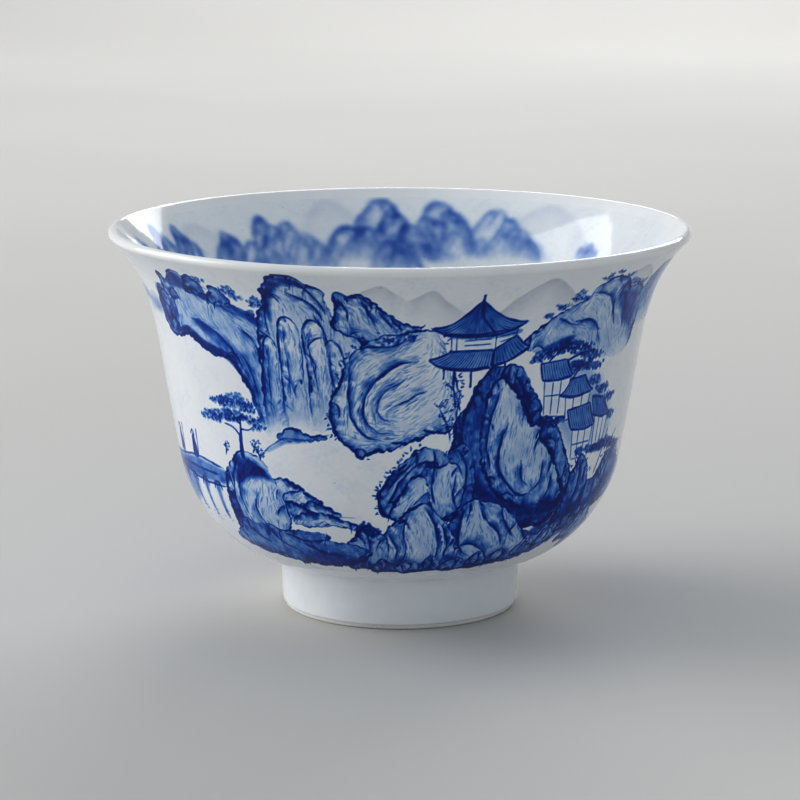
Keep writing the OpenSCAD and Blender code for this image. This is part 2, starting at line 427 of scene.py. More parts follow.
class Sheet:
    """The whole unrolled painting. Ink is cobalt, haze the greyer wash of far hills, mottle how
    unevenly the clay drinks a wash, and weave the grain that a half-dry brush shows."""

    def __init__(self, heights, runs):
        self.heights, self.runs = heights, runs
        self.rows = int(np.ceil(runs[-1] / CELL)) + 1
        self.ink = np.zeros((self.rows, COLS), np.float32)
        self.haze = np.zeros((self.rows, COLS), np.float32)
        self.mottle = clouds(self.rows, COLS, 9, 9) * 0.5 + clouds(self.rows, COLS, 26, 26) * 0.5
        self.weave = clouds(1500, 700, 4, 4)

    def place(self, points):
        """Degrees and height to sheet millimetres; height becomes the run along the wall."""
        p = np.asarray(points, float)
        return np.column_stack([p[:, 0] * PER_DEGREE, np.interp(p[:, 1], self.heights, self.runs)])


class Patch:
    """A window of the sheet that one motif is painted in, in millimetres, and laid back by done()."""

    def __init__(self, sheet, points, margin=1.5):
        low, high = points.min(0) - margin, points.max(0) + margin
        self.sheet = sheet
        self.row = max(0, int(low[1] / CELL)), min(sheet.rows, int(high[1] / CELL) + 1)
        self.col = int(np.floor(low[0] / CELL)), int(np.floor(high[0] / CELL)) + 1
        self.index = np.ix_(np.arange(*self.row), np.arange(*self.col) % COLS)
        self.ink, self.haze = sheet.ink[self.index], sheet.haze[self.index]
        self.mottle = sheet.mottle[self.index]
        self.shape = self.ink.shape
        self.y = (np.arange(*self.row) + 0.5) * CELL
        self.x = (np.arange(*self.col) + 0.5) * CELL
        self.keep = np.ones(self.shape, np.float32)

    def inside(self, line):
        """1 inside a closed line, by counting the sides that lie to the left of each cell."""
        a, b = line, np.roll(line, -1, axis=0)
        flips = np.zeros((self.shape[0], self.shape[1] + 1), np.int32)
        for (ax, ay), (bx, by) in zip(a, b):
            lo, hi = (ay, by) if ay < by else (by, ay)
            r = np.arange(np.searchsorted(self.y, lo), np.searchsorted(self.y, hi))
            if len(r):
                cut = ax + (bx - ax) * (self.y[r] - ay) / (by - ay)
                np.add.at(flips, (r, np.searchsorted(self.x, cut)), 1)
        return (np.cumsum(flips, axis=1)[:, :-1] % 2).astype(np.float32)

    def near(self, line, values=None, bent=None):
        """Distance from each cell to a line, then the values that the nearest of its points carries,
        then how far the cell lies along that point's normal. Worked out on coarse cells and blended
        between."""
        ys, xs = self.y[::COARSE], self.x[::COARSE]
        gx, gy = np.meshgrid(xs, ys)
        gap, which = nearest_of(line, gx.ravel(), gy.ravel())
        fields = [gap.reshape(gx.shape)]
        which = which.reshape(gx.shape)
        if values is not None:
            fields += [v[which] for v in np.atleast_2d(values.T)]
        if bent is not None:
            p, n = line[which], bent[which]
            fields.append((gx - p[..., 0]) * n[..., 0] + (gy - p[..., 1]) * n[..., 1])
        out = []
        i = np.clip(np.searchsorted(ys, self.y) - 1, 0, max(len(ys) - 2, 0))
        k = np.minimum(i + 1, len(ys) - 1)
        f = np.clip((self.y - ys[i]) / (COARSE * CELL), 0, 1)[:, None]
        for g in fields:
            g = np.array([np.interp(self.x, xs, row) for row in g])
            out.append(g[i] * (1 - f) + g[k] * f)
        return out[0] if len(out) == 1 else out

    def streaks(self, fall):
        """Long thin random cells from 0 to 1 that run down a slope, as a half-dry brush leaves."""
        a = np.radians(fall)
        gx, gy = np.meshgrid(self.x, self.y)
        u = (gx * np.sin(a) - gy * np.cos(a)) / STREAK_WIDE
        v = (gx * np.cos(a) + gy * np.sin(a)) / STREAK_LONG
        w = self.sheet.weave
        return w[u.astype(int) % w.shape[0], v.astype(int) % w.shape[1]]

    def lay(self, layer, area=1.0):
        """Lay one coat of ink over what is there: each coat darkens what the last one left light."""
        self.ink = 1 - (1 - self.ink) * (1 - np.clip(layer * area * self.keep, 0, 1))

    def wipe(self, area, much=1.0):
        """Leave the clay white inside an area, so that a near thing hides what is behind it."""
        self.ink = self.ink * (1 - area * self.keep * much)
        self.haze = self.haze * (1 - area * self.keep * much)

    def dabs(self, x, y, width, depth):
        """A layer of soft round touches, full inside their radius and gone a cell beyond it."""
        x, y, width, depth = (np.ravel(v) for v in np.broadcast_arrays(x, y, width, depth))
        layer = np.zeros(self.shape, np.float32)
        reach = int(np.ceil(width.max() / 2 / CELL)) + 1
        c, r = np.floor(x / CELL).astype(int), np.floor(y / CELL).astype(int)
        for i in range(-reach, reach + 1):
            for j in range(-reach, reach + 1):
                gap = np.hypot((c + i + 0.5) * CELL - x, (r + j + 0.5) * CELL - y)
                touch = depth * np.clip((width / 2 - gap) / CELL + 0.5, 0, 1)
                u, v = c + i - self.col[0], r + j - self.row[0]
                ok = (touch > 0) & (u >= 0) & (u < self.shape[1]) & (v >= 0) & (v < self.shape[0])
                np.maximum.at(layer, (v[ok], u[ok]), touch[ok].astype(np.float32))
        return layer

    def stroke(self, line, width, depth, lift=0.45, ends=0.35):
        """One pull of the brush: it swells and thins along the way, and tapers at its ends."""
        n = len(line)
        swell = 1 + lift * drift(n, 14)
        t = np.linspace(0, 1, n)
        swell *= np.clip(np.minimum(t, 1 - t) / ends / 0.5, 0.25, 1)
        self.lay(self.dabs(line[:, 0], line[:, 1], width * swell, depth * (0.85 + 0.15 * drift(n, 10))))

    def hairs(self, x, y, angle, length, width, depth, bend=0.0, area=None):
        """Many short strokes at once: each sets off at its angle, bends evenly and tapers away."""
        if not len(x):
            return
        n = max(3, int(np.max(length) / HAIR_GAP))
        t = np.linspace(0, 1, n)[None]
        turn = angle[:, None] + np.asarray(bend).reshape(-1, 1) * t
        step = (length / n)[:, None]
        px = x[:, None] + np.cumsum(np.cos(turn) * step, axis=1)
        py = y[:, None] + np.cumsum(np.sin(turn) * step, axis=1)
        taper = np.sin(np.pi * np.clip(0.15 + 0.85 * t, 0, 1)) ** 0.6
        layer = self.dabs(px, py, width[:, None] * taper, depth[:, None] * np.ones_like(t))
        self.lay(layer, 1.0 if area is None else area)

    def done(self):
        """Lay the window back on the sheet."""
        self.sheet.ink[self.index] = self.ink
        self.sheet.haze[self.index] = self.haze


def scatter(patch, area, per_mm2):
    """Random places inside an area, so many to the square millimetre."""
    r, c = np.nonzero(area > 0.5)
    n = int(len(r) * CELL * CELL * per_mm2)
    if not n:
        return np.zeros(0), np.zeros(0)
    k = hand.integers(0, len(r), n)
    return (patch.x[c[k]] + hand.uniform(-0.5, 0.5, n) * CELL,
            patch.y[r[k]] + hand.uniform(-0.5, 0.5, n) * CELL)


CREASES_A_POINT = 0.12   # creases for each point of a rock's edge, before the rock's own share
CREASE_LONG = 1.0, 3.5   # length of a crease, from and to, mm


def wrinkles(line, out, fall, count):
    """Short creases that leave a rock's edge and turn down its slope, each with its darker side."""
    made = []
    slope = np.radians(fall)
    for k in hand.integers(0, len(line), count):
        way = np.arctan2(-out[k, 1], -out[k, 0])
        n = int(hand.uniform(*CREASE_LONG) / LINE_GAP)
        t = np.linspace(0, 1, n)
        turn = (slope - way + np.pi) % (2 * np.pi) - np.pi
        ang = way + turn * t ** 0.7 + hand.normal(0, 0.2)
        crease = line[k] + np.cumsum(np.column_stack([np.cos(ang), np.sin(ang)]) * LINE_GAP, axis=0)
        made.append((shaky(crease, 0.08), hand.choice([-1, 1]) * hand.uniform(0.35, 0.8)))
    return made


FALLOFF = 1.25   # a wash fades as the exponential of minus its distance to this power


def rough_edge(sheet, outline, rough, lobes):
    """The line round a rock, clockwise: it wavers, and bulges outwards in small lobes."""
    line = line_through(sheet.place(outline), closed=True)
    turn = np.sum(line[:, 0] * np.roll(line[:, 1], -1) - line[:, 1] * np.roll(line[:, 0], -1))
    line = shaky(line if turn < 0 else line[::-1], rough, closed=True)
    bulge = np.abs(drift(len(line), 9, True)) + 0.5 * np.abs(drift(len(line), 4, True))
    return line + normals_of(line) * (lobes * bulge)[:, None]


def rising_mist(sheet, patch, low, soft):
    """How much of a motif shows: nothing up to the height low, and all of it soft millimetres above."""
    t = np.clip((patch.y - sheet.place([(0, low)])[0, 1]) / soft, 0, 1)
    return np.repeat((t * t * (3 - 2 * t))[:, None], patch.shape[1], 1).astype(np.float32)


def grain_strokes(patch, area, marks, per_mm2, fall, hair, reach):
    """Fine strokes over a rock. Near a mark they are many, dark and lie along it; away from it they
    are few and pale, and turn towards the fall of the slope."""
    x, y = scatter(patch, area, per_mm2)
    spots = np.vstack([m[0][EVERY_OTHER] for m in marks])
    bend = np.vstack([normals_of(m[0])[EVERY_OTHER] for m in marks])
    gap, which = nearest_of(spots, x, y)
    way = np.arctan2(bend[which, 1], bend[which, 0]) - np.pi / 2
    slope = np.radians(fall)
    way = np.where(np.cos(way - slope) < 0, way + np.pi, way)
    off = (way - slope + np.pi) % (2 * np.pi) - np.pi
    way = slope + off * np.exp(-gap / 2.5) + hand.normal(0, 0.07, len(x))
    weight = np.exp(-gap / (1.3 * reach))
    pick = hand.random(len(x)) < 0.3 + 0.7 * weight
    n = pick.sum()
    patch.hairs(x[pick], y[pick], way[pick], hand.uniform(*hair, n), hand.uniform(0.06, 0.12, n),
                0.05 + 0.75 * hand.random(n) * weight[pick] + 0.16 * hand.random(n),
                hand.normal(0, 0.15, n), area)


def contour(patch, area, line, out, facing, pen, accents):
    """A rock's outline, which swells and thins and is heavier on the dark side, and short heavy
    strokes just inside it."""
    n = len(line)
    swell = 1 + 0.85 * drift(n, 17, True) + 0.5 * drift(n, 5, True)
    swell = np.clip(swell, 0.08, 2.6) * (0.35 + 1.1 * facing)
    fine = np.linspace(0, n - 1, int(n * 1.4))
    at = np.column_stack([np.interp(fine, np.arange(n), line[:, i]) for i in (0, 1)])
    patch.lay(patch.dabs(at[:, 0], at[:, 1], pen * np.interp(fine, np.arange(n), swell), 0.93))
    k = hand.integers(0, n, int(accents * n * 0.1))
    k = k[hand.random(len(k)) < facing[k]]
    if len(k):
        p = line[k] - out[k] * hand.uniform(0.05, 0.35, len(k))[:, None]
        way = np.arctan2(out[k, 1], out[k, 0]) - np.pi / 2 + hand.normal(0, 0.12, len(k))
        patch.hairs(p[:, 0], p[:, 1], way, hand.uniform(0.4, 1.6, len(k)), hand.uniform(0.2, 0.5, len(k)),
                    hand.uniform(0.75, 0.95, len(k)), hand.normal(0, 0.3, len(k)), np.maximum(area, 0.3))


def moss_dots(patch, line, out, share):
    """Short ticks that stand out from the upper edge of a rock, in loose groups."""
    up = (out[:, 1] > -0.6) & (hand.random(len(line)) < share * 0.22)
    up &= drift(len(line), 25, True) > -0.4
    n = up.sum()
    if n:
        p = line[up] + out[up] * hand.uniform(0.05, 0.6, n)[:, None]
        patch.hairs(p[:, 0], p[:, 1], np.arctan2(out[up, 1], out[up, 0]) + hand.normal(0, 0.5, n),
                    hand.uniform(0.3, 0.75, n), hand.uniform(0.14, 0.24, n), hand.uniform(0.7, 0.95, n))


def rock(sheet, outline, folds=(), dark=(-0.8, -0.6), tone=0.15, edge=0.8, reach=1.0, grain=3.5,
         fall=-90, moss=0.0, pen=0.26, mist=None, hair=(0.7, 1.9), rough=0.2, lobes=0.3,
         creases=0.35, accents=0.5, root=0.28):
    """A rock, cliff or bank. Its outline hides what is behind it; a wash darkens towards the edges that
    face away from the light and on one side of each fold; fine strokes follow the nearest line
    and, away from it, the fall of the slope; moss dots stand along its upper edge."""
    line = rough_edge(sheet, outline, rough, lobes)
    out = normals_of(line)
    patch = Patch(sheet, line)
    area = patch.inside(line)
    if mist is not None:
        patch.keep = rising_mist(sheet, patch, *mist)
    patch.wipe(area)
    # The wash: all over, darker along the shaded edges, and gathering towards the root.
    aim = np.asarray(dark, float) / np.hypot(*dark)
    facing = 0.15 + 0.85 * np.clip(out @ aim * 0.6 + 0.4, 0, 1)
    pull = np.clip(1 + 0.9 * drift(len(line), 5, True), 0.15, 2.2)
    d, lit, far = patch.near(line[EVERY_OTHER], np.column_stack([facing, pull])[EVERY_OTHER])
    streak = patch.streaks(fall)
    wobble = reach * (0.34 + 0.44 * patch.mottle)
    wash = tone * (0.3 + 0.75 * patch.mottle + 0.2 * streak)
    wash += edge * lit * np.exp(-(d / (wobble * far)) ** FALLOFF) * (0.8 + 0.35 * streak)
    share = np.clip((patch.y - line[:, 1].min()) / np.ptp(line[:, 1]), 0, 1)[:, None]
    wash += root * np.exp(-3.5 * share) * (0.3 + 0.9 * patch.mottle)
    # Its folds and creases, each with a wash on its darker side that fades towards its end.
    drawn = [(shaky(line_through(sheet.place(points)), rough * 0.8), side) for points, side in folds]
    if creases:
        drawn += wrinkles(line, out, fall, int(creases * len(line) * CREASES_A_POINT))
    marks = [(line, np.zeros(len(line)))]
    for fold, side in drawn:
        t = np.linspace(0, 1, len(fold))
        ends = np.clip(1.5 * (1 - t) + 0.2, 0, 1) * np.clip(np.minimum(t, 1 - t) / 0.1, 0, 1)
        marks.append((fold, side * ends))
    if drawn:
        points = np.vstack([m[0][EVERY_OTHER] for m in marks[1:]])
        bent = np.vstack([normals_of(m[0])[EVERY_OTHER] for m in marks[1:]])
        strong = np.concatenate([m[1][EVERY_OTHER] for m in marks[1:]])
        pull = np.clip(1 + 0.9 * drift(len(points), 4), 0.15, 2.2)
        s, strong, far, across = patch.near(points, np.column_stack([strong, pull]), bent)
        width = np.where(across * np.sign(strong) > 0, wobble * far, 0.12)
        wash += edge * np.abs(strong) * np.exp(-(s / width) ** FALLOFF) * (0.8 + 0.35 * streak)
    patch.lay(np.clip(wash, 0, 0.94), area)
    # The brushwork over the wash.
    if grain:
        grain_strokes(patch, area, marks, grain, fall, hair, reach)
    for fold, side in drawn:
        patch.stroke(line_through(fold[::3], step=FINE_GAP), pen * (0.55 + 0.5 * abs(side)), 0.92, lift=0.7)
    if pen:
        contour(patch, area, line, out, facing, pen, accents)
    if moss:
        moss_dots(patch, line, out, moss)
    patch.done()


def far_hill(sheet, crest, deep, depth):
    """A far hill: a grey wash that is firm along its crest and thins out down the slope."""
    line = shaky(line_through(sheet.place(crest)), 0.1)
    patch = Patch(sheet, np.vstack([line, line - [0, deep]]), 0.5)
    top = np.interp(patch.x, line[:, 0], line[:, 1], left=-99, right=-99)[None]
    down = top - patch.y[:, None]
    side = np.clip(np.minimum(patch.x - line[0, 0], line[-1, 0] - patch.x) / 2.0, 0, 1)[None]
    wash = depth * np.exp(-np.clip(down, 0, None) / (0.45 * deep)) * np.clip(down / 0.25, 0, 1) * side
    patch.haze = np.maximum(patch.haze, (wash * (0.7 + 0.5 * patch.mottle)).astype(np.float32))
    patch.done()


def lines(sheet, routes, width, depth, lift=0.35, waver=0.06):
    """Plain strokes of the brush along each route."""
    for route in routes:
        line = shaky(line_through(sheet.place(route), step=FINE_GAP), waver)
        patch = Patch(sheet, line)
        patch.stroke(line, width, depth, lift, ends=0.12)
        patch.done()


def shade(sheet, outline, depth, blur):
    """A plain wash inside an outline, soft at its edge."""
    line = line_through(sheet.place(outline), closed=True)
    patch = Patch(sheet, line)
    d = patch.near(line[::3])
    patch.lay(depth * (0.6 + 0.8 * patch.mottle) * np.clip(d / blur, 0, 1), patch.inside(line))
    patch.done()


def leaves(sheet, clumps, depth=0.9, size=0.34, thick=13.0, ground=0.4):
    """Masses of leaves: for each, loose round dabs in an oval, then darker flecks low in it."""
    for deg, z, half_w, half_h in clumps:
        centre = sheet.place([(deg, z)])[0]
        half = np.array([half_w, half_h])
        patch = Patch(sheet, np.array([centre - half, centre + half]), 1.0)
        n = int(thick * np.pi * half_w * half_h)
        ang, rad = hand.uniform(0, 2 * np.pi, n), np.sqrt(hand.random(n))
        edge = 1 + 0.22 * np.sin(3 * ang + hand.uniform(0, 6)) + 0.12 * np.sin(7 * ang + hand.uniform(0, 6))
        x = centre[0] + half_w * rad * edge * np.cos(ang)
        y = centre[1] + half_h * rad * edge * np.sin(ang)
        patch.lay(patch.dabs(x, y, hand.uniform(0.8, 1.5, n) * size * 1.3,
                             ground * hand.uniform(0.5, 1.1, n)))
        low = np.clip(0.6 - (y - centre[1]) / (1.6 * half_h), 0.15, 1)
        pick = hand.random(n) < 0.25 + 0.6 * low
        m = pick.sum()
        patch.hairs(x[pick], y[pick], hand.uniform(0.2, 2.9, m), hand.uniform(0.25, 0.7, m),
                    hand.uniform(0.5, 0.95, m) * size * 0.6, depth * (0.45 + 0.55 * low[pick]),
                    hand.normal(0, 0.8, m))
        patch.done()


TWIG_INK = 0.85


def twigs(sheet, deg, z, height, lean, buds, spread=1.0):
    """A thin bare shrub: a bent stem with side twigs, each ending in a few dots."""
    foot = sheet.place([(deg, z)])[0]
    t = np.linspace(0, 1, 30)
    stem = np.column_stack([foot[0] + lean * t ** 1.5 + 0.12 * np.sin(5 * t), foot[1] + height * t])
    patch = Patch(sheet, np.vstack([stem, foot + [1.4 * spread, height], foot - [1.4 * spread, 0]]), 1.0)
    patch.stroke(stem, 0.22, TWIG_INK)
    k = hand.integers(6, 30, buds)
    side = np.where(hand.random(buds) < 0.5, -1, 1)
    way = np.pi / 2 + side * hand.uniform(0.5, 1.2, buds)
    far = hand.uniform(0.5, 1.3, buds) * spread
    x, y = stem[k, 0], stem[k, 1]
    patch.hairs(x, y, way, far, np.full(buds, 0.12), np.full(buds, TWIG_INK))
    x, y = x + np.cos(way) * far, y + np.sin(way) * far
    x, y = (np.repeat(x, 3) + hand.normal(0, 0.16, 3 * buds),
            np.repeat(y, 3) + hand.normal(0, 0.13, 3 * buds))
    patch.hairs(x, y, hand.uniform(-0.6, 0.6, 3 * buds), np.full(3 * buds, 0.3),
                hand.uniform(0.14, 0.24, 3 * buds), hand.uniform(0.6, 0.95, 3 * buds))
    patch.done()


def roof(sheet, ridge, eave, tiles, sag, tone=0.42, pen=0.26):
    """A tiled roof between its ridge and its eave, both from left to right: a wash, a stroke for each
    row of tiles, which sags between the two, and a firm line round it."""
    top, low = line_through(sheet.place(ridge)), line_through(sheet.place(eave))

    def across(line, t):
        n = len(line) - 1
        return np.column_stack([np.interp(t * n, np.arange(n + 1), line[:, 0]),
                                np.interp(t * n, np.arange(n + 1), line[:, 1])])

    def row(t):
        a, b = across(top, t), across(low, t)
        s = np.linspace(0, 1, 26)[:, None, None]
        way = a + (b - a) * s
        pull = np.column_stack([(across(top, 0.5 + 0 * t) - a)[:, 0] * 0.25, -np.abs(b - a)[:, 1]]) * sag
        return way + pull * (4 * s * (1 - s))

    ends = row(np.array([0.0, 1.0]))
    outline = np.vstack([top, ends[:, 1], low[::-1], ends[::-1, 0]])
    patch = Patch(sheet, outline)
    area = patch.inside(outline)
    patch.wipe(area)
    patch.lay(tone * (0.7 + 0.6 * patch.mottle), area)
    for way in row(np.linspace(0.02, 0.98, tiles)).transpose(1, 0, 2):
        patch.stroke(line_through(way[::5], step=FINE_GAP), 0.13, 0.72, lift=0.5, ends=0.15)
    for line, w in ((ends[:, 0], 0.9), (ends[:, 1], 0.9), (top, 1.15), (low, 1.25)):
        patch.stroke(shaky(line_through(line[::4] if len(line) > 9 else line, step=FINE_GAP), 0.03),
                     pen * w, 0.95, ends=0.06)
    patch.done()


PLASTER_TONE, PLASTER_PEN = 0.05, 0.16


def wall(sheet, outline, posts):
    """A plastered wall: bare white with a thin wash, ruled round, with its posts and rails."""
    line = sheet.place(list(outline) + [outline[0]])
    patch = Patch(sheet, line)
    area = patch.inside(line[:-1])
    patch.wipe(area)
    patch.lay(np.full(patch.shape, PLASTER_TONE, np.float32), area)
    patch.done()
    for a, b in zip(outline, list(outline[1:]) + [outline[0]]):
        lines(sheet, [[a, b]], PLASTER_PEN, 0.8, 0.25, 0.02)
    lines(sheet, posts, PLASTER_PEN, 0.85, 0.25, 0.02)


def water(sheet, deg, z, half, n, depth, drop):
    """Still water: level strokes that crowd under a bank and spread apart below it."""
    x0, y0 = sheet.place([(deg, z)])[0]
    patch = Patch(sheet, np.array([[x0 - half, y0 - drop], [x0 + half, y0]]), 1.0)
    y = y0 - drop * hand.random(n) ** 1.6
    length = half * hand.uniform(0.25, 0.9, n)
    x = x0 + (half - length / 2) * hand.uniform(-1, 1, n) - length / 2
    patch.hairs(x, y, np.zeros(n) + hand.normal(0, 0.03, n), length, hand.uniform(0.08, 0.2, n),
                depth * hand.uniform(0.4, 1, n))
    patch.done()


outer_sheet = Sheet(skin[:, 1], skin_run)
sheet = outer_sheet
# Far hills.
far_hill(sheet, [(-13, 50), (-9, 52.4), (-4, 54.1), (-1, 53), (2, 51.6)], 6, 0.55)
far_hill(sheet, [(0, 51.2), (3.5, 52.4), (6.5, 53.3), (10, 51.4), (15, 49)], 6, 0.6)
far_hill(sheet, [(18, 48), (22, 50.4), (27, 53), (31, 54.3), (35, 53), (40, 50.4), (44, 48)], 8, 0.6)
far_hill(sheet, [(50, 51), (55, 53.6), (59, 54), (66, 51.5), (72, 49)], 7, 0.5)
# Ridge on the left, and a paler one beyond it.
for deg, z in ((-88, 50.6), (-77, 50.2), (-69, 49.2)):
    far_hill(sheet,
             [(deg - 9, z - 4), (deg - 4, z - 1.2), (deg, z), (deg + 4, z - 0.8), (deg + 9, z - 3.6)], 5,
             0.45)
    shade(sheet, [(deg - 6, z - 3), (deg - 2, z - 0.8), (deg + 2, z - 0.7), (deg + 7, z - 2.8),
                  (deg, z - 3.6)],
          0.28, 1.2)
rock(sheet, [(-64, 44.2), (-65, 47), (-62, 50.6), (-58, 50.2), (-55, 52.2), (-51, 53.8), (-48, 52.6),
             (-46, 51), (-42, 50.6), (-38, 49.8), (-33, 48.2), (-30, 45), (-28, 39), (-27, 33), (-30, 30),
             (-34, 33), (-36, 37.5), (-39, 40), (-42, 41.6), (-46, 41.8), (-50, 42.6), (-55, 44.4),
             (-60, 43.6)],
     folds=[([(-62, 50.4), (-60.5, 47), (-60.5, 44.4)], 0.9),
            ([(-54.5, 51), (-57, 48.7), (-58.2, 45.6)], -0.9),
            ([(-52.5, 46.8), (-47, 45.9), (-41, 43.4), (-37, 39.5)], -0.8),
            ([(-46, 50.4), (-41, 49.4), (-35, 47.8)], -0.7),
            ([(-37, 46.5), (-33.5, 44.6), (-32, 41)], -0.6), ([(-38, 43), (-35, 39), (-34, 34)], 0.5)],
     mist=(30.5, 8), tone=0.17, grain=4)
shade(sheet, [(-65, 45.2), (-65, 49.4), (-62.6, 51), (-60, 50.4), (-57.6, 47.6), (-59, 44.4),
              (-62, 43.6)],
      0.62, 0.9)
shade(sheet, [(-58, 50.4), (-55, 52.4), (-51, 53.8), (-46, 51.4), (-41, 50.6), (-35, 49.4), (-31, 48),
              (-31.6, 46.6), (-38, 48.6), (-46, 49.8), (-53, 51)],
      0.6, 0.5)
shade(sheet, [(-51, 46.4), (-45, 46), (-38, 43), (-34, 38), (-33, 34), (-35.6, 37), (-40, 41),
              (-47, 43.6)],
      0.42, 0.8)
for deg, z, w, h in ((-61.6, 47.6, 2.2, 3), (-57.4, 50.8, 2.4, 2.2), (-47, 51.8, 3, 1.6),
                     (-40.6, 50.6, 2.6, 1.4), (-60.4, 45, 1.8, 1.3)):
    rock(sheet, [(deg - w, z - h * 0.6), (deg - w * 0.7, z + h * 0.4), (deg, z + h),
                 (deg + w * 0.8, z + h * 0.3), (deg + w, z - h * 0.5), (deg, z - h * 0.7)],
         tone=0.4, dark=(-0.6, 0.7), edge=0.95, creases=0.5, reach=0.9, pen=0.2, root=0.2, rough=0.3)
shade(sheet, [(-60, 43.9), (-55, 45.4), (-50, 44), (-46, 43.2), (-42, 42.6), (-38.6, 40.6), (-35.4, 37.4),
              (-33.6, 34), (-33, 32.6), (-34.4, 33.4), (-36.6, 37), (-39.6, 39.8), (-43, 41.4),
              (-47, 41.8), (-51, 42.8), (-56, 44.2)],
      0.75, 0.35)
leaves(sheet, [(-44, 53, 1.0, 0.45), (-37, 51.9, 1.1, 0.8), (-35, 50.9, 0.9, 0.5), (-31, 50.4, 1.2, 0.9),
               (-33, 48.6, 0.8, 0.5)])
# Organ-pipe cliffs in the middle left.
rock(sheet, [(-32, 45), (-31, 48.4), (-29, 50.4), (-27.5, 53), (-24.5, 54.8), (-21, 55), (-18.5, 53.8),
             (-15.5, 52.8), (-15, 50.4), (-13, 48.4), (-10, 46.4), (-7.5, 44.6), (-9, 40), (-13, 35),
             (-18, 32.6), (-24, 32.4), (-29, 31.6), (-32, 34)],
     folds=[([(-27.5, 52.6), (-28.6, 50), (-29.4, 48.4)], -0.9),
            ([(-23, 52.6), (-19.5, 51.6), (-17, 49.8), (-16.4, 48)], -0.9),
            ([(-20.5, 54.6), (-17.5, 52.4), (-15.4, 49.4)], -0.7),
            ([(-30, 46.5), (-31.5, 43), (-31.5, 38), (-32, 34)], 0.5),
            ([(-28, 51), (-29.4, 48), (-29, 45.4)], -0.6),
            ([(-18.4, 49.6), (-16, 46.4), (-15, 42), (-15.4, 37.6)], -0.5)],
     mist=(31.5, 7), tone=0.14, grain=3.5, dark=(-0.6, 0.5))
shade(sheet, [(-29.4, 49.6), (-27.6, 53), (-24.4, 54.8), (-20.6, 54.8), (-18, 53.4), (-20.6, 53.4),
              (-24, 53), (-26.8, 50.6), (-28, 47.6)],
      0.75, 0.5)
for deg, top, foot, w, lean in ((-14.6, 45.6, 33.6, 1.9, 2.2), (-18.8, 48.4, 33.2, 2.5, 1.4),
                                (-29.6, 45.6, 33.6, 1.9, -0.8), (-24.6, 48.6, 33, 2.5, 0.2)):
    rock(sheet, [(deg - w + lean, foot), (deg - w * 1.02 + lean * 0.5, (top + foot) / 2),
                 (deg - w * 0.96, top - 2.6), (deg - w * 0.66, top - 0.7), (deg - w * 0.1, top),
                 (deg + w * 0.5, top - 0.5), (deg + w * 0.92, top - 2.2),
                 (deg + w * 1.02 + lean * 0.5, (top + foot) / 2 - 1), (deg + w + lean, foot)],
         folds=[([(deg - w * 0.3, top - 1.2), (deg - w * 0.5, top - 4),
                  (deg - w * 0.4 + lean * 0.5, top - 8), (deg - w * 0.4 + lean, top - 12)],
                 0.6)],
         mist=(32.5, 7), tone=0.06, grain=6, dark=(-1, 0.15), pen=0.16, reach=0.75, rough=0.1, lobes=0.12,
         creases=0.12, accents=0.2, edge=0.7)
for deg, top in ((-12.8, 44.6), (-10.8, 43)):
    lines(sheet, [[(deg - 1.4, top + 0.8), (deg, top), (deg + 0.9, top - 3), (deg + 0.4, top - 7)],
                  [(deg + 0.4, top - 1.6), (deg + 1.4, top - 5), (deg + 1, top - 9)]],
          0.17, 0.6)
rock(sheet, [(-14, 48), (-12.6, 50.6), (-12.8, 52.6), (-10, 52.4), (-7.5, 52.2), (-4, 50.2), (0, 48.4),
             (4, 47.4), (1, 46.4), (-3, 46), (-6, 44.8), (-9, 46.4), (-12, 47)],
     folds=[([(-12.4, 52), (-11, 50), (-10.6, 48.4)], -0.9), ([(-8, 51.9), (-6.6, 50), (-5, 48)], 0.7),
            ([(-4.4, 50), (-2.6, 48.6), (-1, 47.4)], 0.6)],
     tone=0.1, grain=7, fall=-55, dark=(-0.5, 0.8), hair=(0.8, 2.4))
shade(sheet, [(-35, 28.4), (-31, 30), (-28, 30.9), (-22, 31.3), (-17, 32), (-22, 30.6), (-28, 30),
              (-32, 28.8)],
      0.45, 0.5)
rock(sheet, [(-30, 30.9), (-28.2, 31.7), (-26.6, 32.3), (-25, 32.2), (-23, 31.7), (-20, 31.5),
             (-17.6, 31.5), (-24, 30.8)],
     tone=0.45, edge=0.7, dark=(-0.6, 0.6), creases=0, pen=0.14, root=0, reach=0.5, accents=0)
lines(sheet, [[(-35, 28.3), (-32, 29.6), (-28.6, 30.8), (-24, 30.9), (-20, 31.2), (-16, 32.1)]], 0.2, 0.6)
# Round rock.
rock(sheet, [(-5, 46), (-9, 44.2), (-12, 41.8), (-13.4, 39), (-15.4, 36.4), (-15.4, 33.4), (-13.6, 31.4),
             (-11, 30), (-9.4, 28.8), (-6.6, 29.8), (-2, 30.4), (3, 31.6), (8, 32.6), (12, 33.4),
             (13, 37), (12, 41), (9, 45), (7, 47), (2, 46.8), (-2, 46.4)],
     folds=[([(4, 43), (-1, 42), (-5.4, 39.8), (-8, 37), (-8.2, 34.6), (-5.4, 32.8), (-1, 32.4)], -1.0),
            ([(-9, 44), (-7, 44.8), (-2, 45), (3, 46.4)], -0.7),
            ([(-11, 41.6), (-11.6, 38), (-11.2, 34.6), (-8, 32), (-4, 31.4)], 0.8),
            ([(1, 40), (-3, 38.6), (-5, 36.6), (-4.2, 34.8), (-1.4, 34)], -0.5),
            ([(6, 38.6), (2, 37.4), (-1, 36.4)], -0.35)],
     tone=0.05, grain=5.5, moss=0.9, fall=-140, reach=1.1, edge=0.8, creases=0.1, root=0.12)
leaves(sheet, [(-1.5, 45.9, 1.3, 0.5), (1.5, 46.3, 1.2, 0.5), (-3.5, 45.4, 0.9, 0.4)], thick=12)

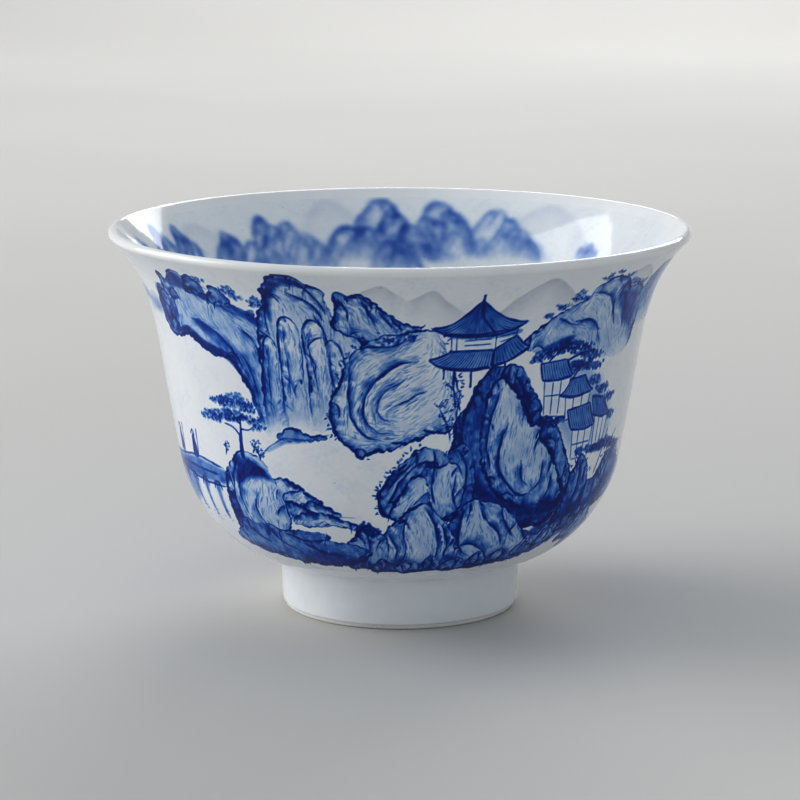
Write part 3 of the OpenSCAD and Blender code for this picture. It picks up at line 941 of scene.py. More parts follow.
# Ridge on the right.
rock(sheet, [(28, 44.4), (31, 46.2), (35, 48), (39, 49.2), (42, 50.4), (45, 52), (49, 53), (53, 52.3),
             (56, 50.8), (60, 50.7), (64, 49.4), (66.5, 46), (65, 42), (60, 40.4), (55, 41), (50, 41.6),
             (46, 43), (40, 43.4), (33, 43.2)],
     folds=[([(43.5, 51), (48, 50.6), (52, 48.8), (55, 45.4)], 0.9),
            ([(41, 47), (46, 46.8), (49, 45.6), (50.4, 42.6)], -0.8),
            ([(54.6, 50.6), (57.4, 48), (59, 44.6)], 0.9),
            ([(60, 50.2), (62.6, 47.4), (63.4, 43.6)], 0.8), ([(36, 48), (39, 47), (43, 46.2)], -0.4)],
     mist=(40, 5), tone=0.12, dark=(1, 0.4), creases=0.2)
shade(sheet, [(52, 52), (56, 50.6), (61, 50.4), (64.6, 48.4), (64, 44.6), (60, 44.6), (56, 47),
              (53, 48.6)],
      0.62, 0.9)
shade(sheet, [(33, 43.8), (38, 44.8), (42.6, 45), (40, 44), (35, 43)], 0.6, 0.4)
leaves(sheet, [(33, 48.3, 1.0, 0.4), (36, 49.4, 1.1, 0.5), (39.8, 50.9, 0.9, 0.9), (41.5, 50.2, 0.8, 0.5),
               (45.6, 53.2, 0.9, 0.6), (48.6, 53.9, 0.7, 0.35), (57, 51.6, 1.2, 0.6),
               (61, 51.2, 1.3, 0.5), (53, 53, 0.7, 0.4)])
rock(sheet, [(62, 47), (64, 50), (68, 52.6), (73, 53.4), (79, 52), (86, 49.6), (84, 46), (76, 44.6),
             (68, 44.4)],
     folds=[([(67, 52), (69, 49), (71, 46)], 0.8), ([(74, 53), (75, 50), (78, 47)], 0.8)], mist=(43.5, 5),
     tone=0.45, dark=(1, 0.4))
# Trees behind the houses.
leaves(sheet, [(33, 42.4, 1.6, 0.8), (37, 43, 2.2, 0.6), (41, 43.4, 2.6, 0.7), (45.5, 42.6, 2.4, 0.8),
               (49.5, 41.4, 2.2, 0.6), (46.5, 40.4, 2.2, 0.7), (51, 39.8, 1.8, 0.5),
               (43, 40.4, 1.8, 0.8)],
       depth=0.95, ground=0.55)
lines(sheet, [[(35, 41.4), (38, 43), (42, 44)], [(38, 40.6), (44, 42), (50, 42.2)],
              [(42, 37.4), (45, 39.8), (50, 41)]],
      0.3, 0.9)
shade(sheet, [(33, 41), (38, 42.4), (46, 42), (52, 39.6), (58, 36.4), (62, 33), (63, 29), (56, 27),
              (46, 26.6), (40, 30), (36, 34)],
      0.2, 2.2)
leaves(sheet, [(51.6, 37.6, 1.6, 0.7), (55.4, 36.2, 1.7, 0.7), (59.4, 34.6, 1.5, 0.6),
               (44.6, 34.8, 0.9, 0.7), (41, 33, 1.2, 0.6), (62, 31.6, 1, 0.7)],
       depth=0.9, ground=0.5)
# Houses.
wall(sheet, [(34.6, 39.2), (42.4, 38.8), (42, 33.2), (35.4, 33.6)],
     [[(37.2, 38.6), (37.4, 33.6)], [(39.6, 38.6), (39.6, 33.6)], [(35, 36.6), (42, 36.4)]])
roof(sheet, [(33, 41.4), (40.6, 41.6)], [(34, 38.9), (38.6, 38.7), (43.4, 39.1)], 12, 0.1)
wall(sheet, [(41.6, 36.2), (50.4, 36), (49.6, 32.6), (42.4, 32.6)],
     [[(44.4, 36), (44.6, 33)], [(47.4, 36), (47.4, 33)]])
roof(sheet, [(42.8, 38.5), (47.6, 38.7)], [(39.6, 36.3), (45, 35.8), (51.4, 36.3)], 12, 0.15)
wall(sheet, [(54, 32.2), (60, 32), (59.6, 27.6), (54.6, 27.6)],
     [[(56, 32), (56.2, 27.6)], [(58, 32), (58, 27.6)]])
roof(sheet, [(51.6, 35.3), (57, 34.7)], [(53.2, 32.3), (57, 31.8), (61.4, 31.9)], 12, 0.12)
wall(sheet, [(45.6, 31), (53.4, 31), (53, 26.4), (46.4, 26.4)],
     [[(48, 31), (48.2, 26.6)], [(50.6, 31), (50.6, 26.6)], [(46, 28.6), (53, 28.6)]])
roof(sheet, [(42.8, 33.9), (51, 34.4)], [(45, 30.9), (50, 30.6), (54.4, 31)], 12, 0.1)
# Pavilion on its stilts.
lines(sheet, [[(12, 41.6), (12, 39), (12.6, 35.8)], [(15.9, 41.5), (15.8, 38.8)],
              [(20.6, 41.6), (20.2, 39.6)], [(9.6, 41.6), (9.7, 40.2)], [(23.6, 42.4), (23.8, 40.4)]],
      0.26, 0.92)
wall(sheet, [(10.9, 46.9), (25.8, 47), (25.4, 45.2), (20.8, 43.6), (11.2, 43.6)],
     [[(12.2, 46.6), (12.2, 44)], [(13.8, 45.6), (20, 45.7)], [(13.8, 44.9), (20, 45)],
      [(16.4, 46.6), (16.4, 45.6)], [(21, 46.8), (21, 44)], [(22, 46), (25.4, 46.4)],
      [(22, 45.2), (25.4, 45.8)]])
shade(sheet, [(10.9, 47), (25.8, 47), (25.6, 46), (18, 45.7), (11, 46)], 0.5, 0.3)
roof(sheet, [(11, 44.1), (20.8, 44.1)], [(6.2, 43), (9, 41.9), (14.4, 41.5), (20.6, 41.7)], 20, 0.12, 0.4)
roof(sheet, [(20.8, 44.1), (25.8, 46)], [(20.6, 41.7), (25, 42.5), (29.6, 44.2)], 11, 0.12, 0.5)
roof(sheet, [(16.3, 51.2), (17.3, 51.2)],
     [(6.6, 47.6), (10, 46.6), (15, 46.2), (21, 46.3), (24.8, 46.9), (28.4, 48)], 26, 0.3, 0.45, 0.3)
lines(sheet, [[(16.8, 50.8), (16.8, 52.4)], [(16.9, 51), (17.6, 48.8), (20.8, 46.4)],
              [(9.6, 46.7), (16, 46.4), (24, 46.9)], [(9, 41.8), (15, 41.3), (20.6, 41.6)]],
      0.34, 0.95)
twigs(sheet, 13.6, 35, 4.6, -1.2, buds=12)
twigs(sheet, 11.6, 31, 5.4, -1.6, buds=14)
# Great boulder on the right.
rock(sheet, [(12.4, 31), (13.6, 34.4), (16, 36.4), (18.4, 39.4), (21.4, 41.5), (24.6, 41.2), (27.6, 39.4),
             (30, 37.4), (33, 34.6), (36, 32.4), (40, 28.8), (44, 25.4), (46, 22.6), (44.4, 19),
             (40, 17.2), (33, 17.6), (26, 18.6), (19, 20.6), (14, 24), (11.4, 27.6)],
     folds=[([(17.6, 38.6), (15.4, 35.4), (14.4, 32), (14.6, 28.4)], -0.9)], tone=0.7, edge=0.75, grain=6,
     creases=0.8)
shade(sheet, [(14, 27), (18, 22.6), (26, 20), (36, 18.6), (45, 19), (46.6, 22.6), (44, 24), (36, 20.6),
              (26, 22.4), (18, 26.6)],
      0.6, 0.8)
rock(sheet, [(19.6, 35.2), (21.6, 39), (24.4, 39.4), (27.4, 37.8), (31, 34.6), (35, 31.6), (39.4, 28),
             (43.6, 25), (44.6, 22.4), (42.4, 20.8), (38.4, 21), (34, 20.6), (29, 21.4), (24, 23.2),
             (20.8, 26.6), (19.2, 31)],
     folds=[([(26, 33.4), (24.2, 30.4), (24.4, 26.8), (27.4, 24), (31, 22.6), (35, 22.4)], -1.0),
            ([(23.4, 38.4), (21.4, 34.4), (20.8, 30), (22.4, 26)], -0.8),
            ([(36.6, 27.2), (36.8, 24.4), (34.6, 22.6)], 0.7),
            ([(40.4, 25), (40, 22.6), (38.4, 21.2)], 0.7), ([(30.4, 27), (31, 25), (33, 23.6)], -0.6)],
     tone=0.12, edge=0.8, grain=4, creases=0.2, reach=1.1)
rock(sheet, [(24.4, 41.4), (27.6, 41), (30.6, 38.8), (33.4, 36), (34.6, 33.6), (32.6, 32.6), (30.4, 35),
             (27.6, 37.6), (24.6, 39.6)],
     tone=0.5, grain=4, folds=[([(26, 40.6), (29, 38), (32, 34.6)], 0.8)])
rock(sheet, [(35.6, 30.6), (35.8, 32.6), (38, 32.9), (40.4, 31.4), (43, 28.6), (46.4, 25), (47.4, 22.4),
             (45, 22.6), (41.4, 26), (38.4, 29)],
     tone=0.4, grain=5)
leaves(sheet, [(36, 33, 1.2, 0.6), (38.6, 32.4, 1.2, 0.6)], depth=0.95, ground=0.6)
# Lower right.
rock(sheet, [(45, 16), (46, 20.4), (48.4, 24.6), (51, 26.4), (53.6, 25), (55, 22.6), (58, 22.4),
             (62, 24.6), (66, 25.8), (71, 25.2), (76, 23.2), (80, 21.4), (74, 19), (66, 18), (58, 16.6),
             (50, 15.4)],
     folds=[([(50.6, 26), (51.4, 23), (50, 19.4), (50.6, 17)], 0.9),
            ([(55.4, 22.4), (55, 20), (56.4, 17.4)], -0.9), ([(61, 24), (59, 21.4), (60, 18.4)], 0.9),
            ([(67, 25.4), (64.6, 22), (65, 19.4)], 0.8)],
     tone=0.5, edge=0.7, creases=0.6, moss=0.5)
shade(sheet, [(47, 17), (48, 21), (54, 19.4), (60, 20.4), (66, 22.4), (74, 23), (70, 19.6), (60, 17.6),
              (52, 16)],
      0.6, 0.8)
leaves(sheet, [(57, 27.2, 1.6, 0.8), (61, 27.4, 2.2, 0.9), (65, 27, 2, 0.8), (69, 26.4, 2, 0.6),
               (53.6, 27.2, 1.2, 0.6), (49.6, 27.4, 1.2, 0.5)],
       depth=0.95, ground=0.55)
lines(sheet, [[(60, 22), (64, 26.4), (68, 29)], [(62, 22), (66.4, 25.4), (71, 27)],
              [(58, 23), (60.6, 26.6), (62, 29.6)]],
      0.3, 0.85)
# Mossy shoulder in the middle.
rock(sheet, [(4, 26), (7, 28.4), (11, 29.2), (14.6, 30.6), (17.4, 29), (18, 25.4), (17.4, 21), (13, 19.6),
             (8, 20.6), (4.6, 22.6)],
     tone=0.5, edge=0.6, creases=0.5, folds=[([(14, 30), (16, 27), (15.6, 23)], 0.8)])
rock(sheet, [(5, 22), (5.4, 25.4), (8, 27.4), (11.6, 28), (14.6, 26.4), (15, 22.8), (13, 20.4), (9, 20)],
     tone=0.13, creases=0.25, folds=[([(8, 27), (7.6, 24), (9, 21.6)], -0.7),
                                     ([(13.6, 26.4), (13, 23.6), (14, 21.4)], 0.8)])
rock(sheet, [(-4.4, 20.4), (-4.6, 23.4), (-2.4, 26), (0.6, 28), (4.4, 29.8), (8.4, 29.9), (11, 28.8),
             (9.6, 27.6), (6.4, 27.6), (3.6, 26), (1, 23.6), (-1.4, 20.6)],
     folds=[([(-3, 24), (0, 26.4), (3.6, 28.4)], 0.8),
            ([(-3.4, 21.6), (-1, 24.4), (2, 26.6), (6, 28.6)], -0.8)],
     tone=0.3, moss=1.4, fall=-120, edge=0.7)
rock(sheet, [(-2, 20.4), (0.6, 23.4), (3.4, 26), (6, 25.6), (7, 22.8), (4.4, 20.6), (1, 19.6)], tone=0.14,
     creases=0.2, fall=-120)
# Front rocks along the foot of the scene.
rock(sheet, [(12, 12), (11.4, 16), (13.4, 19.4), (16.6, 21.8), (20.4, 22.2), (25, 21.2), (29.4, 19.6),
             (33.6, 17.2), (38, 15.8), (42, 14.8), (46, 16.8), (49, 15.4), (46, 13), (40, 12), (32, 11.4),
             (22, 11)],
     folds=[([(17, 21.4), (15.6, 18.4), (16.4, 15), (20, 13)], -1),
            ([(20, 21.6), (22.6, 19), (26.6, 17), (30, 14)], 0.9),
            ([(26, 20.6), (29, 18), (33, 15.6)], -0.8), ([(34, 16.8), (37, 15), (39, 13)], 0.9),
            ([(41.6, 14.8), (42.4, 17), (45.4, 16.4)], -0.7),
            ([(14, 14), (19, 15.4), (24, 14), (27, 11.8)], 0.8)],
     tone=0.18, edge=0.85, creases=0.25, reach=1.5)
rock(sheet, [(-5, 11.4), (-5.4, 14.6), (-3.4, 18), (-0.6, 19.2), (2.6, 21), (6, 22), (9, 20.6),
             (12, 18.4), (14.6, 16), (15, 13), (13, 11.2), (4, 10.8)],
     folds=[([(6, 21.6), (9, 18.6), (10.4, 15), (10, 12)], 0.95),
            ([(2.6, 20.8), (1, 18), (1.6, 14.6), (0, 12)], -0.5),
            ([(-3, 17.6), (-1, 15), (-2, 12.4)], 0.6), ([(11, 18.8), (12.8, 16), (12.6, 12.6)], 0.8)],
     tone=0.12, edge=0.85, creases=0.2, reach=1.5)
rock(sheet, [(-14, 12.4), (-14.4, 14.8), (-12, 16.6), (-8.6, 18.6), (-6, 17.6), (-4, 16.4), (-3.6, 13.4),
             (-6, 11.2)],
     tone=0.3, folds=[([(-9, 18), (-8, 15.6), (-9.4, 13)], 0.8)], creases=0.5)
leaves(sheet, [(-9.4, 18.3, 1.4, 0.9), (-7, 17.6, 1.2, 0.7)], depth=0.95, ground=0.65)
shade(sheet, [(-16, 11.2), (-14, 13.4), (-7, 12.2), (0, 13.8), (8, 12.6), (14, 14.4), (22, 12.4),
              (30, 14.4), (37, 13), (45, 15.6), (52, 15.8), (58, 18.2), (60, 16.8), (50, 13.4),
              (36, 11.7), (16, 11), (0, 10.8)],
      0.6, 1.2)
for deg, z, w, h in ((-12, 11.7, 3.4, 1.2), (-5, 11.3, 3, 1.7), (2.4, 11.2, 4, 1.3), (9, 11.5, 2.8, 2.1),
                     (16.4, 11.4, 4, 1.4), (23.6, 11.8, 3, 1.9), (31, 12.2, 4, 1.5), (38.4, 12.9, 3, 2),
                     (45.6, 14.2, 3.4, 1.6), (52, 15.8, 3, 1.8), (57.6, 17.4, 2.6, 1.3)):
    rock(sheet, [(deg - w, z - 0.4), (deg - w * 0.6, z + h * 0.6), (deg, z + h),
                 (deg + w * 0.7, z + h * 0.5), (deg + w, z - 0.3), (deg, z - 0.6)],
         folds=[([(deg, z + h), (deg + w * 0.2, z + h * 0.4), (deg - w * 0.1, z - 0.3)], 0.8)], tone=0.3,
         creases=0.3, edge=0.9, pen=0.24, root=0.7)
shade(sheet, [(37, 15.8), (40.4, 17.8), (45.6, 18.8), (48, 17.6), (47, 16), (44.6, 16.6), (41.6, 15)],
      0.7, 0.5)
# Left bank, its pine and the layered spit.
shade(sheet, [(-36, 24.4), (-30, 24.4), (-24, 23), (-19, 21.4), (-14, 19.6), (-22, 19), (-32, 19)], 0.3,
      1.0)
for a, b, z, t in ((-34, -25, 24, 0.9), (-30, -20, 22.4, 0.9), (-26, -15.5, 20.8, 0.95),
                   (-33, -22, 20.4, 0.5), (-28, -12, 19.2, 0.8)):
    rock(sheet, [(a, z - 0.9), (a + 1, z + 0.4), ((a + b) / 2, z + 0.8), (b - 1, z - 0.2), (b, z - 0.8),
                 ((a + b) / 2, z - 0.9)],
         tone=0.12, dark=(0.3, 1), edge=1.0, creases=0.12, reach=1.1, pen=0.17, root=0.05, accents=0.2)
water(sheet, -17, 20, 4, 8, 0.3, 1)
rock(sheet, [(-53, 14.2), (-50, 16), (-49.6, 19.6), (-48.8, 23.4), (-46.4, 25.8), (-43, 27.6),
             (-39.6, 27.8), (-36, 27), (-33.6, 25.4), (-31.6, 23), (-30, 19.6), (-31, 17), (-36, 15),
             (-44, 14)],
     folds=[([(-43, 27.2), (-45.6, 24.6), (-46.8, 21.4), (-46, 18), (-44, 16)], -0.9),
            ([(-39.6, 27.2), (-42.4, 25.4), (-44.4, 22.4), (-44, 19)], 0.9),
            ([(-34.4, 25.6), (-37.6, 26), (-41, 24.4)], 0.9),
            ([(-38, 22.4), (-39.6, 19.6), (-38, 17)], -0.5)],
     tone=0.1, edge=0.9, creases=0.15, reach=1.6)
shade(sheet, [(-43, 27.4), (-38, 27.2), (-33.6, 25.2), (-32.6, 24), (-36, 24.4), (-40, 24), (-44, 22.6),
              (-45.6, 24)],
      0.8, 0.7)
rock(sheet, [(-54, 13.8), (-50, 15.4), (-46, 17.6), (-42, 17), (-38, 17.4), (-34, 16.6), (-30, 16.8),
             (-24, 16.9), (-19, 16.6), (-20, 15.8), (-13, 15.2), (-8, 14.2), (-14, 12.2), (-24, 11.4),
             (-36, 11.8), (-46, 12.6)],
     folds=[([(-46, 17.2), (-44, 15.4), (-40, 14)], 0.9), ([(-38, 17.2), (-36, 15), (-31, 13.6)], 0.9),
            ([(-33, 16.4), (-27, 15.6), (-20, 15.8)], -0.9),
            ([(-28, 15), (-22, 13.6), (-14, 13.4)], 0.9)],
     tone=0.5, edge=0.6, dark=(0.2, -1), creases=0.5)
shade(sheet, [(-30, 11.4), (-30, 14), (-18, 14), (-10, 13), (-8, 11.4)], 0.55, 0.8)
lines(sheet, [[(-41.6, 27), (-41.8, 29.4), (-41, 31.4), (-40.6, 33.4)],
              [(-41.2, 27), (-41.2, 29.4), (-40.6, 31.6)]],
      0.42, 0.9)
lines(sheet, [[(-41.4, 30.4), (-43.4, 31.4), (-46.4, 31.8)], [(-41.2, 31.4), (-38.4, 31.4), (-36, 32.4)],
              [(-41, 32), (-43, 33.4), (-45, 34.2)]],
      0.24, 0.9)
leaves(sheet, [(-46, 35, 2.4, 0.75), (-41.6, 35.6, 2.8, 0.85), (-38.4, 34.6, 1.8, 0.6),
               (-51.6, 32.4, 2.2, 0.7), (-47, 33, 2.6, 0.8), (-42.6, 33.2, 2.2, 0.8),
               (-37.4, 33, 1.8, 0.6), (-35.6, 32, 1.2, 0.5)],
       size=0.36, thick=14)
twigs(sheet, -47.6, 27, 2.2, 0.5, buds=6, spread=0.6)
twigs(sheet, -38, 28, 1.9, 1, buds=7, spread=0.7)
twigs(sheet, -36, 27, 2.2, -0.5, buds=7, spread=0.7)
# Low bridge to the far bank, with two walkers, and its reflection.
shade(sheet, [(-90, 17), (-90, 24), (-80, 24.6), (-66, 23.6), (-64, 21), (-66, 18.6), (-76, 16.6)], 0.34,
      1.4)
shade(sheet, [(-90, 22.6), (-90, 25), (-76, 24.8), (-62, 25.4), (-49, 24.6), (-48.6, 22.4), (-60, 22),
              (-76, 22.4)],
      0.5, 0.6)
lines(sheet, [[(-90, 24.8), (-76, 24.6), (-62, 25.5), (-49.6, 24.8)],
              [(-90, 22.6), (-74, 22.6), (-60, 22), (-48.6, 22)],
              [(-80, 23.6), (-66, 23.8), (-52, 23.6)]],
      0.3, 0.85)
for deg in (-86, -79.6, -73, -66.4, -59.8, -53.6):
    shade(sheet, [(deg - 1.5, 22.4), (deg + 1.5, 22.4), (deg + 1.1, 20.4), (deg + 0.7, 17),
                  (deg - 0.7, 17), (deg - 1.1, 20.4)],
          0.5, 0.5)
    lines(sheet, [[(deg - 1.8, 21.2), (deg - 1.2, 22.2), (deg, 22.5), (deg + 1.2, 22.2),
                   (deg + 1.8, 21.2)]],
          0.3, 0.85)
    water(sheet, deg, 18, 1.6, 8, 0.35, 2.4)
for deg in (-72, -62.4):
    shade(sheet, [(deg - 1.5, 25.2), (deg - 1.1, 27.4), (deg - 0.2, 28.8), (deg + 0.6, 28.4),
                  (deg + 1.5, 25.4)],
          0.7, 0.3)
    lines(sheet, [[(deg - 1.2, 28.5), (deg - 0.2, 29.2), (deg + 0.9, 28.4)],
                  [(deg + 1.2, 25.2), (deg + 1.9, 27.2), (deg + 2.3, 29.6)],
                  [(deg - 0.6, 28.4), (deg - 1, 26.8), (deg - 1.4, 25.2)]],
          0.26, 0.85)


def crag(sheet, deg, base, half, high, kind, **look):
    """A rock of one of the usual kinds, stretched to its half width in degrees and its height: an
    outline from its left foot over the top to its right foot, and the folds that run down from it."""
    outline, folds = CRAGS[kind]

    def at(points):
        return [(deg + half * x, base + high * y) for x, y in points]

    flat = [(0.5, -0.06), (-0.1, -0.1), (-0.6, -0.05)]
    rock(sheet, at(outline + flat), folds=[(at(points), side) for points, side in folds], **look)


CRAGS = {"peak": ([(-1, 0), (-0.88, 0.28), (-0.62, 0.48), (-0.44, 0.8), (-0.12, 1), (0.16, 0.95),
                   (0.32, 0.7), (0.6, 0.52), (0.8, 0.24), (1, 0)],
                  [([(-0.06, 0.96), (-0.24, 0.7), (-0.2, 0.42), (-0.4, 0.12)], -0.9),
                   ([(0.14, 0.9), (0.28, 0.62), (0.36, 0.34), (0.6, 0.08)], 0.9),
                   ([(-0.5, 0.6), (-0.64, 0.34), (-0.7, 0.1)], -0.6)]),
         "dome": ([(-1, 0), (-1.02, 0.4), (-0.76, 0.8), (-0.2, 1), (0.4, 0.95), (0.84, 0.62), (1, 0.22),
                   (0.96, 0)],
                  [([(0.5, 0.8), (0, 0.8), (-0.42, 0.58), (-0.5, 0.28), (-0.3, 0.06)], -1.0),
                   ([(0.1, 0.56), (-0.14, 0.4), (-0.06, 0.16)], -0.5),
                   ([(0.74, 0.52), (0.5, 0.32), (0.54, 0.06)], 0.8)]),
         "ledge": ([(-1, 0), (-0.92, 0.48), (-0.5, 0.8), (-0.1, 0.66), (0.36, 1), (0.78, 0.72), (1, 0.1)],
                   [([(-0.5, 0.76), (-0.36, 0.42), (-0.52, 0.1)], 0.85),
                    ([(0.36, 0.95), (0.26, 0.5), (0.42, 0.1)], -0.9),
                    ([(-0.1, 0.66), (0.02, 0.4), (-0.08, 0.1)], 0.5)]),
         "spire": ([(-1, 0), (-0.9, 0.3), (-0.66, 0.56), (-0.52, 0.88), (-0.1, 1), (0.3, 0.97),
                    (0.52, 0.7), (0.72, 0.36), (1, 0)],
                   [([(-0.1, 0.97), (-0.34, 0.76), (-0.3, 0.5), (-0.46, 0.2)], -0.9),
                    ([(0.26, 0.94), (0.12, 0.7), (0.2, 0.4), (0.1, 0.1)], 0.85),
                    ([(0.5, 0.66), (0.5, 0.4), (0.7, 0.12)], 0.8),
                    ([(-0.6, 0.5), (-0.74, 0.3), (-0.7, 0.08)], -0.7)])}


def house(sheet, deg, z, half, high):
    """A small house: a plastered front with its posts, under a tiled roof that slants to one side."""
    top, lean = z + high, 0.5
    wall(sheet, [(deg - half, top), (deg + half, top), (deg + half * 0.9, z), (deg - half * 0.9, z)],
         [[(deg - half * 0.4, top), (deg - half * 0.36, z)],
          [(deg + half * 0.3, top), (deg + half * 0.3, z)],
          [(deg - half, z + high * 0.55), (deg + half, z + high * 0.55)]])
    roof(sheet, [(deg - half * 0.8 - lean, top + high * 0.46),
                 (deg + half * 0.7 - lean, top + high * 0.44)],
         [(deg - half * 1.3, top + 0.1), (deg, top - 0.25), (deg + half * 1.35, top + 0.1)],
         int(5 + 2 * half), 0.12)


def pine(sheet, deg, z, high, lean=1.0, wide=1.0):
    """A pine: a bent trunk with side boughs, and flat clouds of needles stacked over them."""
    lines(sheet, [[(deg, z), (deg - 0.2 * lean, z + 0.4 * high), (deg + 0.5 * lean, z + 0.8 * high),
                   (deg + 0.3 * lean, z + high)],
                  [(deg + 0.4, z), (deg + 0.3, z + 0.35 * high)]],
          0.4, 0.9)
    lines(sheet, [[(deg, z + 0.5 * high), (deg - 2.2 * wide, z + 0.66 * high),
                   (deg - 4.4 * wide, z + 0.7 * high)],
                  [(deg + 0.3 * lean, z + 0.62 * high), (deg + 2.6 * wide, z + 0.66 * high),
                   (deg + 4.6 * wide, z + 0.8 * high)]],
          0.22, 0.88)
    leaves(sheet, [(deg + x * wide, z + y * high, half * wide, tall)
                   for x, y, half, tall in ((-4.6, 0.8, 2.0, 0.6), (4.4, 0.9, 2.0, 0.6),
                                            (-2, 1.0, 2.2, 0.7), (2, 1.08, 2.2, 0.7),
                                            (0, 1.24, 1.9, 0.7))])


def boat(sheet, deg, z, long=3.4, sail=3.2):
    """A boat on still water: a low curved hull, a mast with its sail, and its reflection."""
    lines(sheet, [[(deg - long, z + 0.7), (deg - 0.5 * long, z), (deg + 0.5 * long, z),
                   (deg + long, z + 0.8)],
                  [(deg - 0.8 * long, z + 0.55), (deg, z + 0.35), (deg + 0.8 * long, z + 0.6)]],
          0.26, 0.85)
    shade(sheet, [(deg - 0.8 * long, z + 0.5), (deg, z + 0.3), (deg + 0.8 * long, z + 0.5),
                  (deg, z - 0.1)],
          0.6, 0.2)
    if sail:
        lines(sheet, [[(deg, z + 0.3), (deg + 0.1, z + sail)],
                      [(deg + 0.1, z + sail), (deg + 1.9, z + 0.55 * sail), (deg + 2.1, z + 0.9)],
                      [(deg + 0.2, z + 0.8), (deg + 2.1, z + 0.9)]], 0.17, 0.8)
    water(sheet, deg, z - 0.4, long * 0.7, 9, 0.3, 1.6)


for crest, deep in (([(84, 50), (92, 53.2), (98, 54.2), (104, 52)], 6),
                    ([(124, 48), (132, 51.6), (138, 53.4), (146, 51.4), (152, 48.6)], 8),
                    ([(146, 48), (153, 51), (159, 52.2), (166, 50)], 7),
                    ([(206, 50), (214, 53.4), (219, 54.2), (226, 51.6), (232, 48)], 8),
                    ([(228, 47), (238, 50.4), (244, 51.6), (252, 49.4), (258, 47)], 7),
                    ([(256, 48), (264, 51.6), (270, 53.2), (278, 52), (286, 50)], 7)):
    far_hill(sheet, crest, deep, 0.55)
# The range with its waterfall.
crag(sheet, 94, 41, 9, 11, "ledge", mist=(41, 5), tone=0.15, dark=(1, 0.4))
crag(sheet, 105, 37, 8, 17, "spire", mist=(35, 7), tone=0.15, grain=4.5)
crag(sheet, 121, 35, 9, 18.6, "peak", mist=(33, 7), tone=0.13, grain=4.5)
crag(sheet, 133, 41, 6, 8, "ledge", mist=(41, 4), tone=0.15)
for side in (-1.2, -0.5, 0.1, 0.7, 1.3):
    lines(sheet, [[(113 + 0.5 * side, 46.4), (113 + side, 42), (113 + side, 36), (113 + 1.3 * side, 31)]],
          0.13, 0.5, waver=0.12)
water(sheet, 113, 31, 3, 16, 0.5, 2)
leaves(sheet, [(98, 52.4, 1.2, 0.5), (101, 53, 1, 0.5), (127, 47.6, 1.3, 0.6), (130, 48.8, 1.3, 0.6),
               (136, 48.4, 1.1, 0.5)])
crag(sheet, 99, 27, 8, 12, "dome", tone=0.14, moss=0.6, creases=0.2)
crag(sheet, 88, 25, 6, 9, "peak", tone=0.3, moss=0.5)
pine(sheet, 97, 38.5, 4.6, -1)
crag(sheet, 124, 24, 7, 9, "ledge", tone=0.35, mist=(24, 2), moss=0.6)
pine(sheet, 127, 32, 4.2)
crag(sheet, 107, 17, 7.5, 14, "peak", tone=0.5, edge=0.55)
crag(sheet, 92, 15, 8, 13, "dome", tone=0.14, reach=1.3, creases=0.2)
crag(sheet, 118, 14.6, 7, 11, "dome", tone=0.16, reach=1.2, creases=0.25)
twigs(sheet, 86, 27, 3.6, -1, buds=9)
twigs(sheet, 112, 24, 3.4, 1, buds=9)
# Open water with boats and a low island.
crag(sheet, 150, 37, 7, 3.4, "ledge", tone=0.4, mist=(36.4, 1.4), pen=0.2)
leaves(sheet, [(147, 40.6, 1.3, 0.5), (150, 41, 1.4, 0.6), (153, 40.4, 1.2, 0.4)])
water(sheet, 150, 36.6, 5, 12, 0.3, 2)
boat(sheet, 141, 31)
boat(sheet, 157, 26.6, 2.8, 2.6)
boat(sheet, 147, 21.6, 2.6, 0)
# The second range, with a temple in its cove.
crag(sheet, 171, 41, 8, 11, "peak", mist=(40, 6), tone=0.16)
crag(sheet, 199, 38, 9, 15, "peak", mist=(37, 6), tone=0.14, dark=(1, 0.2))
crag(sheet, 185, 33, 9.5, 21.6, "spire", mist=(31, 7), tone=0.13, grain=5, reach=1.2)
crag(sheet, 209, 43, 6, 7, "ledge", mist=(42, 4), tone=0.16, dark=(1, 0.2))
leaves(sheet, [(176, 49.6, 1.2, 0.5), (179, 51.6, 1.1, 0.5), (193, 51, 1.4, 0.6), (205, 50, 1.3, 0.6),
               (211, 50.4, 1.2, 0.5)])
crag(sheet, 174, 23, 8, 13.6, "dome", tone=0.14, reach=1.2, moss=0.6, creases=0.2)
leaves(sheet, [(183, 34.4, 2, 0.9), (187, 35.6, 2, 0.9), (198, 35, 2.2, 0.9), (202, 33.4, 1.8, 0.8)],
       0.95, ground=0.6)
house(sheet, 188, 27, 3.6, 4.2)
house(sheet, 195, 28.4, 4.2, 5)
roof(sheet, [(193.6, 37.4), (195.4, 37.4)], [(189.6, 35), (195, 34.2), (200.4, 35.2)], 14, 0.3, 0.45, 0.3)
house(sheet, 201.4, 26, 3, 4)
crag(sheet, 184, 16, 8, 12.6, "peak", tone=0.5, edge=0.55)
crag(sheet, 199, 15, 9, 12.4, "dome", tone=0.15, reach=1.3, creases=0.2)
crag(sheet, 170, 14, 6.5, 10.6, "ledge", tone=0.3)
crag(sheet, 211, 18, 6, 11, "peak", tone=0.4, moss=0.7)
pine(sheet, 209, 29, 4.6)
pine(sheet, 172, 36, 4.4, -1)
twigs(sheet, 165, 23.6, 3.4, -1, buds=9)
